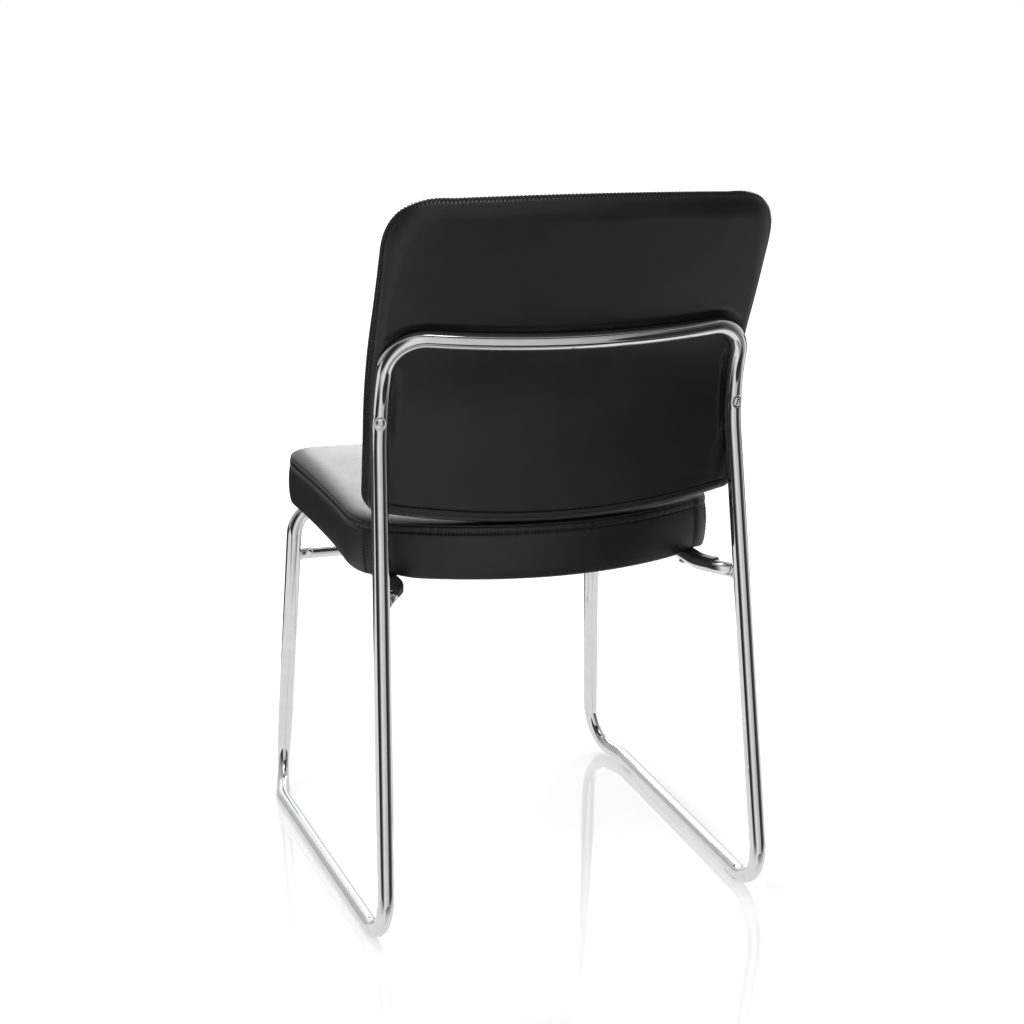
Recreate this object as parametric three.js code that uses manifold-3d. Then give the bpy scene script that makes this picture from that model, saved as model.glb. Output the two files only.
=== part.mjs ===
// Sled base visitor chair: a bent chrome tube frame that carries an upholstered seat and back.
// Millimetres. +Z is up, the sitter faces -Y, and +X is at the sitter's left.

import * as THREE from 'three';
import { mergeVertices } from 'three/addons/utils/BufferGeometryUtils.js';
import Module from 'manifold-3d';

const wasm = await Module();
wasm.setup();

// Fits
const contact_gap = 0.3;
const screw_clearance = 0.4;
const merge_distance = 0.005;

// Main frame tube
const tube_diameter = 19;
const tube_wall = 1.5;

// Frame widths between the centre lines of the left and right tube
const runner_front_width = 481;
const runner_rear_width = 457;
const leg_top_width = 411;
const leg_foot_width = 446;
const hoop_width = 411;

// Frame depths along Y: foot to foot, and how far each standing tube leans over its height
const frame_depth = 534;
const leg_lean = 29;
const upright_lean = 90;
const hoop_setback = 33;

// Frame heights of the centre line above the floor
const front_tube_height = 391;
const foot_kick_height = 14;

// The uprights bend where they carry the back, this far above its screws, and again at the hoop
const lumbar_above_screws = 8;
const hoop_above_lumbar = 88;

// From the foot of a front leg the tube runs outward over this depth to the runner
const foot_kick_depth = 78;

// Bend radii of the centre line
const leg_top_bend = 40;
const foot_bend = 46;
const runner_bend = 60;
const rear_floor_bend = 55;
const lumbar_bend = 190;
const hoop_corner_bend = 44;
const hoop_bow_start = 78;

// Seat rails, their spacers and the bar between the front legs
const rail_diameter = 16;
const rail_wall = 1.2;
const rail_inset = 21.5;
const rail_bend = 40;
const rail_bend_setback = 50;
const saddle_wall = 2.2;
const saddle_side_wall = 1.1;
const saddle_length = 80;
const saddle_behind_bend = 23;
const saddle_end_gap = 8;
const rear_screw_setback = 43;
const saddle_corner = 5;
const saddle_skirt = 0.6;
const brace_diameter = 14;
const brace_wall = 1.2;
const brace_drop = 66;

// Floor glides under the runners
const glide_sole = 1.2;
const glide_width = 9;
const glide_length = 30;
const glide_height = 2.4;
const glide_pin_diameter = 5;
const glide_pin_height = 6;
const glide_inset = 25;

// Upholstery layers
const leather = 1.5;
const hem_width = 12;
const dust_cloth = 1;

// Seat
const seat_side_overhang = 13.5;
const seat_side_pull = 2.5;
const seat_front_overhang = 14;
const seat_front_pull = 2;
const seat_front_corner = 52;
const seat_rear_corner = 65;
const seat_rear_narrowing = 35;
const seat_upright_clearance = 57.9;
const seat_rear_bow = 52;
const seat_boxing = 58;
const seat_crown = 12;
const seat_rear_crown_share = 0.4;
const seat_crown_shares = [0.93, 0.8, 0.6, 0.35, 0.12];
const crown_flatness = 4;
const crown_shoulder = 0.8;
const seat_edge_round = 6;
const seat_board_thickness = 12;
const seat_board_inset = 3;

// Back
const back_side_overhang = 13.5;
const back_bow = 25;
const back_lower_lean = THREE.MathUtils.degToRad(3.5);
const back_recline = THREE.MathUtils.degToRad(24.5);
const back_bend = 250;
const back_seat_clearance = 5.9;
const back_below_screws = 122;
const back_above_screws = 271;
const back_top_arch = 9;
const back_bottom_sweep = 16;
const back_top_corner = 65;
const back_bottom_corner = 18;
const back_side_pull = 1.5;
const back_side_depth = 37;
const back_top_depth = 22;
const back_seam_depth = 17;
const back_crown = 8;
const back_crown_flatness = 3;
const back_middle_shares = [0.75, 0.42, 0.12];
const back_edge_round = 4;
const back_tube_sink = 6.6;
const back_pad_behind_tube = 2.4;
const back_board_thickness = 7.5;
const back_board_inset = 3;

// How far a cushion's round edge draws in at its seam and at its start, as shares of its radius
const edge_seam_share = 0.2;
const edge_ease_share = 0.25;

// Screws and tee nuts
const screw_diameter = 6;
const screw_head_diameter = 10.5;
const screw_head_height = 3.3;
const screw_socket = 4;
const screw_socket_depth = 2;
const head_rim_share = 0.25;
const head_crown_share = 0.8;
const head_flat_share = 0.5;
const dimple_depth = 2.2;
const dimple_diameter = 14;
const nut_flange_diameter = 18;
const nut_flange_thickness = 1.3;
const nut_barrel_diameter = 9;
const nut_barrel_share = 0.8;

// Facets
const tube_sides = 14;
const bore_sides = 8;
const fine_bend_step = THREE.MathUtils.degToRad(18);
const turned_sides = 12;
const socket_sides = 6;
const corner_steps = 4;
const edge_steps = 4;
const half_turn = Math.PI;
const full_turn = 2 * Math.PI;

const tube_radius = tube_diameter / 2;
const rail_radius = rail_diameter / 2;
const brace_radius = brace_diameter / 2;
const runner_height = glide_sole + tube_radius;
const front_foot_y = -frame_depth / 2;
const rear_foot_y = frame_depth / 2;

// The seat lies on the front tube and the rails, the back stands just clear of the seat, and the
// uprights follow the back that they carry.
const seat_underside = front_tube_height + tube_radius + contact_gap;
const seat_hem = seat_underside + dust_cloth + contact_gap;
const seat_seam = seat_hem + seat_boxing;
const back_screw_height = seat_seam + back_seat_clearance + back_below_screws;
const lumbar_height = back_screw_height + lumbar_above_screws;
const hoop_height = lumbar_height + hoop_above_lumbar;
const rail_height = seat_underside - contact_gap - saddle_wall - contact_gap - rail_radius;
const brace_height = front_tube_height - brace_drop;

// The cushions reach past the tubes that carry them, and the rails lie within the front tube.
const seat_width = leg_top_width + 2 * seat_side_overhang;
const seat_rear_width = seat_width - 2 * seat_rear_narrowing;
const back_width = hoop_width + 2 * back_side_overhang;
const back_rear_pad = back_tube_sink + back_pad_behind_tube;
const rail_spacing = leg_top_width - 2 * rail_inset;
const saddle_width = rail_diameter + 2 * (contact_gap + saddle_side_wall);

const chrome = { color: 0xd8d8da, roughness: 0.08, metalness: 1 };
const zinc = { color: 0xb4b4b0, roughness: 0.35, metalness: 1 };
const black_leather = { color: 0x1b1b1c, roughness: 0.45, metalness: 0 };
const black_cloth = { color: 0x161616, roughness: 0.95, metalness: 0 };
const black_plastic = { color: 0x141414, roughness: 0.5, metalness: 0 };
const clear_nylon = { color: 0xcfcfc8, roughness: 0.4, metalness: 0 };
const cream_foam = { color: 0xe2d6b0, roughness: 0.95, metalness: 0 };
const plywood = { color: 0xb98d5a, roughness: 0.7, metalness: 0 };

// A centre line through stations, each a point with the line's direction there. A section swept
// along it gets one ring at each station.
class StationLine extends THREE.Curve {
  constructor(stations) {
    super();
    this.stations = stations;
  }

  between(t) {
    const place = t * (this.stations.length - 1);
    const low = Math.min(Math.floor(place), this.stations.length - 2);
    return blend(this.stations[low], this.stations[low + 1], place - low);
  }

  getPoint(t) {
    return this.between(t).point;
  }

  getTangent(t) {
    return this.between(t).tangent;
  }

  getUtoTmapping(u) {
    return u;
  }

  // The station where the line passes a height.
  atHeight(z) {
    const above = this.stations.findIndex(({ point }, i) => (
      i > 0 && (point.z - z) * (this.stations[i - 1].point.z - z) <= 0
    ));
    const from = this.stations[above - 1];
    const to = this.stations[above];
    return blend(from, to, (z - from.point.z) / (to.point.z - from.point.z));
  }

  // The stretch of the line between two distances from its start.
  stretch(start, end) {
    const kept = [];
    let run = 0;
    for (let i = 1; i < this.stations.length; i += 1) {
      const from = this.stations[i - 1];
      const to = this.stations[i];
      const length = from.point.distanceTo(to.point);
      const cuts = [start, run + length, end].filter((at) => (
        at > run && at <= run + length && at >= start && at <= end
      ));
      cuts.sort((a, b) => a - b).forEach((at) => kept.push(blend(from, to, (at - run) / length)));
      run += length;
    }
    return new StationLine(kept.filter(({ point }, i) => (
      !i || point.distanceTo(kept[i - 1].point) > 0
    )));
  }
}

function blend(from, to, share) {
  return {
    point: from.point.clone().lerp(to.point, share),
    tangent: from.tangent.clone().lerp(to.tangent, share).normalize(),
  };
}

// Straight runs from corner to corner, joined by round bends.
function bentLine(corners, bends) {
  const radii = fittedBends(corners, bends);
  return new StationLine(corners.flatMap((corner, i) => {
    const before = corners[i - 1];
    const after = corners[i + 1];
    if (before && after) {
      return bendStations(before, corner, after, radii[i]);
    }
    const along = before ? corner.clone().sub(before) : after.clone().sub(corner);
    return [{ point: corner, tangent: along.normalize() }];
  }));
}

// The bends' radii, made smaller only where two bends would run into each other.
function fittedBends(corners, bends) {
  const reaches = corners.map((corner, i) => {
    if (!corners[i - 1] || !corners[i + 1]) {
      return 0;
    }
    const inward = corner.clone().sub(corners[i - 1]);
    const outward = corners[i + 1].clone().sub(corner);
    return bends[i] * Math.tan(inward.angleTo(outward) / 2);
  });
  const roomShare = (i) => {
    if (!corners[i] || !corners[i + 1]) {
      return 1;
    }
    const room = corners[i].distanceTo(corners[i + 1]);
    return Math.min(1, room / (reaches[i] + reaches[i + 1]));
  };
  return bends.map((radius, i) => radius * Math.min(roomShare(i - 1), roomShare(i)));
}

function bendStations(before, corner, after, radius) {
  const inward = corner.clone().sub(before).normalize();
  const outward = after.clone().sub(corner).normalize();
  const turn = inward.angleTo(outward);
  const start = corner.clone().addScaledVector(inward, -radius * Math.tan(turn / 2));
  const axis = inward.clone().cross(outward).normalize();
  const centre = start.clone().addScaledVector(axis.clone().cross(inward), radius);
  const steps = Math.max(2, Math.ceil(turn / fine_bend_step));
  return Array.from({ length: steps + 1 }, (_, k) => {
    const angle = (turn * k) / steps;
    return {
      point: start.clone().sub(centre).applyAxisAngle(axis, angle).add(centre),
      tangent: inward.clone().applyAxisAngle(axis, angle),
    };
  });
}

function v3(x, y, z) {
  return new THREE.Vector3(x, y, z);
}

function ringOfPoints(radius, sides) {
  return Array.from({ length: sides }, (_, i) => {
    const angle = (full_turn * (i + 0.5)) / sides;
    return new THREE.Vector2(radius * Math.cos(angle), radius * Math.sin(angle));
  });
}

// A round bar along a path, with a bore where a wall is given.
function barAlong(path, radius, wall) {
  const section = new THREE.Shape(ringOfPoints(radius, tube_sides));
  if (wall) {
    section.holes.push(new THREE.Path(ringOfPoints(radius - wall, bore_sides)));
  }
  const steps = path.stations.length - 1;
  return new THREE.ExtrudeGeometry(section, { steps, extrudePath: path, bevelEnabled: false });
}

function toSolid(geometry) {
  const bare = geometry.clone();
  bare.deleteAttribute('normal');
  bare.deleteAttribute('uv');
  const merged = mergeVertices(bare);
  return new wasm.Manifold(new wasm.Mesh({
    numProp: 3,
    vertProperties: new Float32Array(merged.attributes.position.array),
    triVerts: new Uint32Array(merged.index.array),
  }));
}

function toGeometry(solid) {
  const { vertProperties, triVerts } = solid.simplify(merge_distance).getMesh();
  const geometry = new THREE.BufferGeometry();
  geometry.setAttribute('position', new THREE.BufferAttribute(vertProperties, 3));
  geometry.setIndex(new THREE.BufferAttribute(triVerts, 1));
  geometry.computeVertexNormals();
  return geometry;
}

// Turns a geometry made along +Z so that it points along an axis from a place.
function aimed(geometry, origin, axis) {
  const turn = new THREE.Quaternion().setFromUnitVectors(v3(0, 0, 1), axis.clone().normalize());
  const one = v3(1, 1, 1);
  return geometry.applyMatrix4(new THREE.Matrix4().compose(origin, turn, one));
}

// A round plug from one height to another along an axis, used for holes, pins and pockets.
function plug(radius, low, high, origin, axis, topRadius = radius) {
  const geometry = new THREE.CylinderGeometry(topRadius, radius, high - low, turned_sides);
  geometry.rotateX(half_turn / 2);
  geometry.translate(0, 0, (low + high) / 2);
  return toSolid(aimed(geometry, origin, axis));
}

// A closed body lofted through loops that all have the same number of points. Each facet between
// two loops is split along its shorter diagonal, so that layers laid over each other match. The
// first and the last loop are closed by a fan.
function loft(loops) {
  const count = loops[0].length;
  const positions = [];
  const index = [];
  loops.forEach((loop) => loop.forEach((p) => positions.push(p.x, p.y, p.z)));
  for (let r = 1; r < loops.length; r += 1) {
    for (let i = 0; i < count; i += 1) {
      const j = (i + 1) % count;
      const low = (r - 1) * count;
      const high = r * count;
      const rising = loops[r - 1][i].distanceTo(loops[r][j]);
      const falling = loops[r - 1][j].distanceTo(loops[r][i]);
      if (rising < falling) {
        index.push(low + i, low + j, high + j, low + i, high + j, high + i);
      } else {
        index.push(low + i, low + j, high + i, low + j, high + j, high + i);
      }
    }
  }
  [0, loops.length - 1].forEach((r) => {
    const middle = loops[r].reduce((sum, p) => sum.add(p), v3(0, 0, 0)).divideScalar(count);
    const hub = positions.length / 3;
    positions.push(middle.x, middle.y, middle.z);
    for (let i = 0; i < count; i += 1) {
      const a = r * count + i;
      const b = r * count + ((i + 1) % count);
      index.push(hub, r ? a : b, r ? b : a);
    }
  });
  const geometry = new THREE.BufferGeometry();
  geometry.setAttribute('position', new THREE.Float32BufferAttribute(positions, 3));
  geometry.setIndex(index);
  geometry.computeVertexNormals();
  return geometry;
}

// Mirrors the +X half of an outline, which runs from the front centre to the rear centre.
function mirroredOutline(half) {
  const other = half.slice(1, -1).reverse().map((p) => new THREE.Vector2(-p.x, p.y));
  return half.concat(other);
}

function arcPoints(from, control, to, steps) {
  return new THREE.QuadraticBezierCurve(from, control, to).getPoints(steps);
}

// Moves an outline inward by an inset and then draws it towards its middle by a share.
function drawnIn(outline, inset, share) {
  const count = outline.length;
  const moved = outline.map((p, i) => {
    const along = outline[(i + 1) % count].clone().sub(outline[(i + count - 1) % count]);
    const inward = new THREE.Vector2(-along.y, along.x).normalize();
    return p.clone().addScaledVector(inward, inset);
  });
  const box = new THREE.Box2().setFromPoints(outline);
  const middle = box.getCenter(new THREE.Vector2());
  return moved.map((p) => p.sub(middle).multiplyScalar(share).add(middle));
}

function makeMesh(name, geometry, finish) {
  const mesh = new THREE.Mesh(geometry, new THREE.MeshStandardMaterial(finish));
  mesh.name = name;
  return mesh;
}

// Frame

function uprightCorners(side) {
  return [
    v3(side * runner_rear_width / 2, rear_foot_y, runner_height),
    v3(side * lumbarHalfWidth(), rear_foot_y - upright_lean, lumbar_height),
    v3(side * hoop_width / 2, rear_foot_y - upright_lean + hoop_setback, hoop_height),
  ];
}

// The uprights draw together in a straight line from the runner to the hoop.
function lumbarHalfWidth() {
  const share = (lumbar_height - runner_height) / (hoop_height - runner_height);
  return THREE.MathUtils.lerp(runner_rear_width, hoop_width, share) / 2;
}

function uprightPath(side) {
  return bentLine(uprightCorners(side), [0, lumbar_bend, 0]);
}

// How far the bowed back reaches behind its side edges at a distance from the middle.
function backBulge(x) {
  const across = x / (back_width / 2);
  return back_bow * (1 - across * across);
}

// The rear wing line of the back: its height along the side profile, from the screws upward.
function backProfile(run) {
  const anchor = uprightPath(1).atHeight(back_screw_height).point;
  const y = anchor.y - tube_radius + back_tube_sink - backBulge(anchor.x);
  const z = back_screw_height;
  const turn = back_recline - back_lower_lean;
  const bend_run = back_bend * turn;
  if (run <= 0) {
    return {
      y: y + run * Math.sin(back_lower_lean),
      z: z + run * Math.cos(back_lower_lean),
      lean: back_lower_lean,
    };
  }
  const lean = back_lower_lean + Math.min(run / bend_run, 1) * turn;
  const rest = Math.max(run - bend_run, 0);
  return {
    y: y + back_bend * (Math.cos(back_lower_lean) - Math.cos(lean)) + rest * Math.sin(lean),
    z: z + back_bend * (Math.sin(lean) - Math.sin(back_lower_lean)) + rest * Math.cos(lean),
    lean,
  };
}

// The padding in front of the board thins toward the top.
function backTaper(run) {
  const share = THREE.MathUtils.clamp(run / back_above_screws, 0, 1);
  return share * (back_side_depth - back_top_depth);
}

// A point of the back: x across, run along the side profile, depth forward from the rear face.
function onBack(x, run, depth) {
  const { y, z, lean } = backProfile(run);
  const forward = depth - backBulge(x);
  return v3(x, y - forward * Math.cos(lean), z + forward * Math.sin(lean));
}

// The hoop's middle lies against the rear face of the bowed back.
function hoopMiddle() {
  const [, lumbar, corner] = uprightCorners(1);
  const lean = Math.atan2(corner.y - lumbar.y, corner.z - lumbar.z);
  const bent = backProfile(back_bend * (back_recline - back_lower_lean));
  const wing_y = bent.y + (corner.z - bent.z) * Math.tan(back_recline);
  const stand_off = (tube_radius + contact_gap) / Math.cos(back_recline);
  const room = wing_y + back_bow + stand_off - corner.y;
  const bow = room / (Math.cos(lean) + Math.sin(lean) * Math.tan(back_recline));
  return { y: corner.y + bow * Math.cos(lean), z: corner.z - bow * Math.sin(lean) };
}

function legPoint(side, height) {
  const share = (height - runner_height) / (front_tube_height - runner_height);
  const width = THREE.MathUtils.lerp(leg_foot_width, leg_top_width, share);
  return v3(side * width / 2, front_foot_y + leg_lean * share, height);
}

function framePath(side) {
  const leg_top = legPoint(side, front_tube_height);
  const kick = legPoint(side, foot_kick_height);
  const foot_y = kick.y + foot_kick_depth;
  const middle = hoopMiddle();
  const corners = [
    v3(0, leg_top.y, leg_top.z),
    leg_top,
    kick,
    v3(side * runner_front_width / 2, foot_y, runner_height),
    ...uprightCorners(side),
    v3(side * hoop_bow_start, middle.y, middle.z),
    v3(0, middle.y, middle.z),
  ];
  const last = corners.length - 3;
  const into = corners[last + 1].clone().sub(corners[last]);
  const turn = into.angleTo(v3(-side, 0, 0));
  const bow_bend = hoop_bow_start / Math.tan(turn / 2);
  return bentLine(corners, [
    0, leg_top_bend, foot_bend, runner_bend, rear_floor_bend,
    lumbar_bend, hoop_corner_bend, bow_bend, 0,
  ]);
}

// Room for the frame tube in whatever is cut to fit it.
function frameRoom(side) {
  return toSolid(barAlong(framePath(side), tube_radius + contact_gap));
}

// Where a back screw crosses its upright, and the way its head points.
function backScrewSeat(side) {
  const { point, tangent } = uprightPath(side).atHeight(back_screw_height);
  const slope = (2 * back_bow * point.x) / (back_width / 2) ** 2;
  const outward = v3(slope, 1, 0);
  const axis = outward.addScaledVector(tangent, -outward.dot(tangent)).normalize();
  return { point, axis };
}

// The spots on a runner that carry a glide: one near the foot bend, one near the rear bend.
function glideSeats(side) {
  const foot_y = legPoint(side, foot_kick_height).y + foot_kick_depth;
  const foot = v3(side * runner_front_width / 2, foot_y, 0);
  const heel = v3(side * runner_rear_width / 2, rear_foot_y, 0);
  const along = heel.clone().sub(foot).normalize();
  const from_heel = -glide_inset - rear_floor_bend;
  return [
    { place: 'front', point: foot.clone().addScaledVector(along, glide_inset), along },
    { place: 'rear', point: heel.clone().addScaledVector(along, from_heel), along },
  ];
}

// Half of the frame: front tube, leg, runner, upright and hoop in one bent tube.
function makeFrameTube(side) {
  const { point, axis } = backScrewSeat(side);
  const hole_radius = screw_diameter / 2 + screw_clearance;
  const floor = tube_radius - dimple_depth;
  const rim = dimple_diameter / 2;
  const beyond = tube_radius + dimple_depth;
  const local = uprightPath(side);
  const boss = plug(rim + tube_wall, floor - tube_wall, tube_radius, point, axis)
    .intersect(toSolid(barAlong(local, tube_radius)));
  const head_room = screw_head_diameter / 2 + screw_clearance;
  let tube = toSolid(barAlong(framePath(side), tube_radius, tube_wall))
    .add(boss)
    .subtract(plug(head_room, floor, beyond, point, axis, rim + screw_clearance))
    .subtract(plug(hole_radius, -beyond, beyond, point, axis));
  glideSeats(side).forEach((seat) => {
    const radius = glide_pin_diameter / 2 + screw_clearance;
    tube = tube.subtract(plug(radius, 0, runner_height, seat.point, v3(0, 0, 1)));
  });
  return toGeometry(tube);
}

// Floor glides

function makeGlide(side, seat) {
  const pad = new THREE.BoxGeometry(glide_width, glide_length, glide_height);
  pad.translate(0, 0, glide_height / 2);
  pad.rotateZ(Math.atan2(-seat.along.x, seat.along.y));
  pad.translate(seat.point.x, seat.point.y, 0);
  const pin_top = glide_sole + glide_pin_height;
  const pin = plug(glide_pin_diameter / 2, glide_sole / 2, pin_top, seat.point, v3(0, 0, 1));
  return toGeometry(toSolid(pad).subtract(frameRoom(side)).add(pin));
}

// Seat rails, saddles and brace

function railCorners(side) {
  const weld = uprightPath(side).atHeight(rail_height).point;
  const front = legPoint(side, front_tube_height);
  const x = side * rail_spacing / 2;
  return [
    weld,
    v3(x, weld.y - rail_bend_setback, rail_height),
    v3(x, front.y, rail_height),
  ];
}

function railLine(side) {
  return bentLine(railCorners(side), [0, rail_bend, 0]);
}

// Each rail has a saddle with a screw at its rear, from the bend forward, and one at its front.
function seatScrews(side) {
  const [weld, bend, front] = railCorners(side);
  const { stations } = railLine(side);
  const length = stations.slice(1).reduce((sum, { point }, i) => (
    sum + point.distanceTo(stations[i].point)
  ), 0);
  const front_end = length - tube_radius - saddle_end_gap;
  const rear_start = weld.distanceTo(bend) - saddle_behind_bend;
  const rear_y = bend.y - rear_screw_setback;
  const front_y = front.y + tube_radius + saddle_end_gap + saddle_length / 2;
  return [
    { place: 'front', start: front_end - saddle_length, point: v3(bend.x, front_y, rail_height) },
    { place: 'rear', start: rear_start, point: v3(bend.x, rear_y, rail_height) },
  ];
}

function seatScrewHoles(side, low, high) {
  const radius = screw_diameter / 2 + screw_clearance;
  return seatScrews(side).map(({ point }) => (
    plug(radius, low, high, v3(point.x, point.y, 0), v3(0, 0, 1))
  ));
}

function cutAll(solid, cutters) {
  return cutters.reduce((left, cutter) => left.subtract(cutter), solid);
}

function makeSeatRail(side) {
  const low = rail_height - rail_diameter;
  const high = rail_height + rail_diameter;
  const rail = toSolid(barAlong(railLine(side), rail_radius, rail_wall)).subtract(frameRoom(side));
  return toGeometry(cutAll(rail, seatScrewHoles(side, low, high)));
}

// A plastic spacer with a flat top and a round channel, which follows the rail that it sits on.
// Its section is drawn with x downward and y across the rail.
function makeSaddle(side, screw) {
  const channel = rail_radius + contact_gap;
  const top = -channel - saddle_wall;
  const half = saddle_width / 2;
  const section = new THREE.Shape();
  section.moveTo(saddle_skirt, half);
  section.lineTo(top + saddle_corner, half);
  section.quadraticCurveTo(top, half, top, half - saddle_corner);
  section.lineTo(top, saddle_corner - half);
  section.quadraticCurveTo(top, -half, top + saddle_corner, -half);
  section.lineTo(saddle_skirt, -half);
  section.lineTo(saddle_skirt, -channel);
  section.absarc(0, 0, channel, -half_turn / 2, half_turn / 2, true);
  section.lineTo(saddle_skirt, channel);
  section.closePath();
  const line = railLine(side).stretch(screw.start, screw.start + saddle_length);
  const steps = line.stations.length - 1;
  const geometry = new THREE.ExtrudeGeometry(section, {
    steps, extrudePath: line, bevelEnabled: false, curveSegments: corner_steps,
  });
  const radius = screw_diameter / 2 + screw_clearance;
  const hole = plug(radius, 0, channel - top, screw.point, v3(0, 0, 1));
  return toGeometry(toSolid(geometry).subtract(hole));
}

function makeBrace() {
  const line = bentLine([legPoint(-1, brace_height), legPoint(1, brace_height)], [0, 0]);
  const bar = toSolid(barAlong(line, brace_radius, brace_wall));
  return toGeometry(cutAll(bar, [frameRoom(1), frameRoom(-1)]));
}

// Seat

const seat_front_y = legPoint(1, front_tube_height).y - seat_front_overhang;
const seat_rear_y = uprightPath(1).atHeight(seat_seam).point.y - seat_upright_clearance;
const seat_board_low = seat_hem + leather + contact_gap;
const seat_board_high = seat_board_low + seat_board_thickness;

function seatOutline() {
  const half = seat_width / 2;
  const rear_y = seat_rear_y;
  const rear_half = seat_rear_width / 2;
  const rear_slope = (2 * seat_rear_bow) / rear_half;
  const rear_control = rear_y - (half - rear_half) * rear_slope / 2;
  const front = new THREE.Vector2(0, seat_front_y + seat_front_pull);
  const front_corner = new THREE.Vector2(half, seat_front_y);
  const front_in = new THREE.Vector2(half - seat_front_corner, seat_front_y);
  const front_middle = new THREE.Vector2(front_in.x / 2, front.y);
  const front_up = new THREE.Vector2(half, seat_front_y + seat_front_corner);
  const rear_down = new THREE.Vector2(half, rear_control - seat_rear_corner);
  const rear_corner = new THREE.Vector2(half, rear_control);
  const rear_in = new THREE.Vector2(rear_half, rear_y);
  const rear_bulge = new THREE.Vector2(rear_half / 2, rear_y + seat_rear_bow);
  const rear = new THREE.Vector2(0, rear_y + seat_rear_bow);
  const side_pull = new THREE.Vector2(half - 2 * seat_side_pull, (front_up.y + rear_down.y) / 2);
  const halfway = [
    ...arcPoints(front, front_middle, front_in, edge_steps).slice(0, -1),
    ...arcPoints(front_in, front_corner, front_up, corner_steps).slice(0, -1),
    ...arcPoints(front_up, side_pull, rear_down, edge_steps).slice(0, -1),
    ...arcPoints(rear_down, rear_corner, rear_in, corner_steps).slice(0, -1),
    ...arcPoints(rear_in, rear_bulge, rear, edge_steps),
  ];
  return mirroredOutline(halfway);
}

function seatLoop(inset, share, z) {
  return drawnIn(seatOutline(), inset, share).map((p) => v3(p.x, p.y, z));
}

// The crowned top of the seat in loops, from its edge to near its middle. The crown is lower
// toward the rear, under the back.
function seatCrownLoops(inset, drop) {
  const depth = seat_rear_y + seat_rear_bow - seat_front_y;
  return seat_crown_shares.map((share) => {
    const rise = seat_crown * (1 - share ** crown_flatness) ** crown_shoulder;
    return seatLoop(inset, share, seat_seam - drop).map((p) => {
      const along = (p.y - seat_front_y) / depth;
      return p.setZ(p.z + rise * THREE.MathUtils.lerp(1, seat_rear_crown_share, along));
    });
  });
}

function seatSideLoops(inset, low, drop) {
  const shoulder = seat_seam - drop;
  const round = seat_edge_round;
  return [
    seatLoop(inset + round * edge_ease_share, 1, low),
    seatLoop(inset, 1, low + round),
    seatLoop(inset, 1, shoulder - round),
    seatLoop(inset + round * edge_seam_share, 1, shoulder - round * edge_ease_share),
    seatLoop(inset + round, 1, shoulder + round * edge_ease_share),
  ];
}

function makeSeatCover() {
  const loops = [
    ...seatCrownLoops(leather, leather).reverse(),
    ...seatSideLoops(leather, seat_board_low - contact_gap, leather).reverse(),
    seatLoop(hem_width, 1, seat_board_low - contact_gap),
    seatLoop(hem_width, 1, seat_hem),
    ...seatSideLoops(0, seat_hem, 0),
    ...seatCrownLoops(0, 0),
  ];
  return loft(loops);
}

function makeSeatFoam() {
  const inset = leather + contact_gap;
  const low = seat_board_high + contact_gap;
  const loops = [...seatSideLoops(inset, low, inset), ...seatCrownLoops(inset, inset)];
  const radius = nut_flange_diameter / 2 + contact_gap;
  const depth = nut_flange_thickness + screw_diameter;
  const pockets = [1, -1].flatMap((side) => seatScrews(side).map(({ point }) => (
    plug(radius, low - depth, low + depth, v3(point.x, point.y, 0), v3(0, 0, 1))
  )));
  return toGeometry(cutAll(toSolid(loft(loops)), pockets));
}

function seatSheet(inset, low, high, holeRadius) {
  const body = toSolid(loft([seatLoop(inset, 1, low), seatLoop(inset, 1, high)]));
  const beyond = high - low;
  const holes = [1, -1].flatMap((side) => seatScrews(side).map(({ point }) => (
    plug(holeRadius, low - beyond, high + beyond, v3(point.x, point.y, 0), v3(0, 0, 1))
  )));
  return toGeometry(cutAll(body, holes));
}

function makeSeatBoard() {
  const radius = nut_barrel_diameter / 2 + contact_gap;
  return seatSheet(seat_board_inset, seat_board_low, seat_board_high, radius);
}

function makeUndersideCloth() {
  const radius = screw_diameter / 2 + screw_clearance;
  return seatSheet(hem_width / 2, seat_underside, seat_underside + dust_cloth, radius);
}

// Back

function backOutline() {
  const half = back_width / 2;
  const low = -back_below_screws;
  const high = back_above_screws - back_top_arch;
  const corner_low = low + back_bottom_sweep;
  const bottom_in = new THREE.Vector2(half - back_bottom_corner, corner_low);
  const bottom_corner = new THREE.Vector2(half, corner_low);
  const bottom_up = new THREE.Vector2(half, corner_low + back_bottom_corner);
  const top_down = new THREE.Vector2(half, high - back_top_corner);
  const top_corner = new THREE.Vector2(half, high);
  const top_in = new THREE.Vector2(half - back_top_corner, high);
  const top = new THREE.Vector2(0, back_above_screws);
  const side_pull = new THREE.Vector2(half - 2 * back_side_pull, (bottom_up.y + top_down.y) / 2);
  const bottom = new THREE.Vector2(0, low);
  const bottom_sag = new THREE.Vector2(bottom_in.x / 2, low);
  const top_arch = new THREE.Vector2(top_in.x / 2, top.y);
  const halfway = [
    ...arcPoints(bottom, bottom_sag, bottom_in, edge_steps).slice(0, -1),
    ...arcPoints(bottom_in, bottom_corner, bottom_up, corner_steps / 2).slice(0, -1),
    ...arcPoints(bottom_up, side_pull, top_down, edge_steps).slice(0, -1),
    ...arcPoints(top_down, top_corner, top_in, corner_steps).slice(0, -1),
    ...arcPoints(top_in, top_arch, top, edge_steps),
  ];
  return mirroredOutline(halfway);
}

function backLoop(inset, share, depth) {
  return drawnIn(backOutline(), inset, share).map((p) => onBack(p.x, p.y, depth));
}

function frontLoop(inset, share, depth) {
  return drawnIn(backOutline(), inset, share).map((p) => (
    onBack(p.x, p.y, depth - backTaper(p.y))
  ));
}

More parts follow.
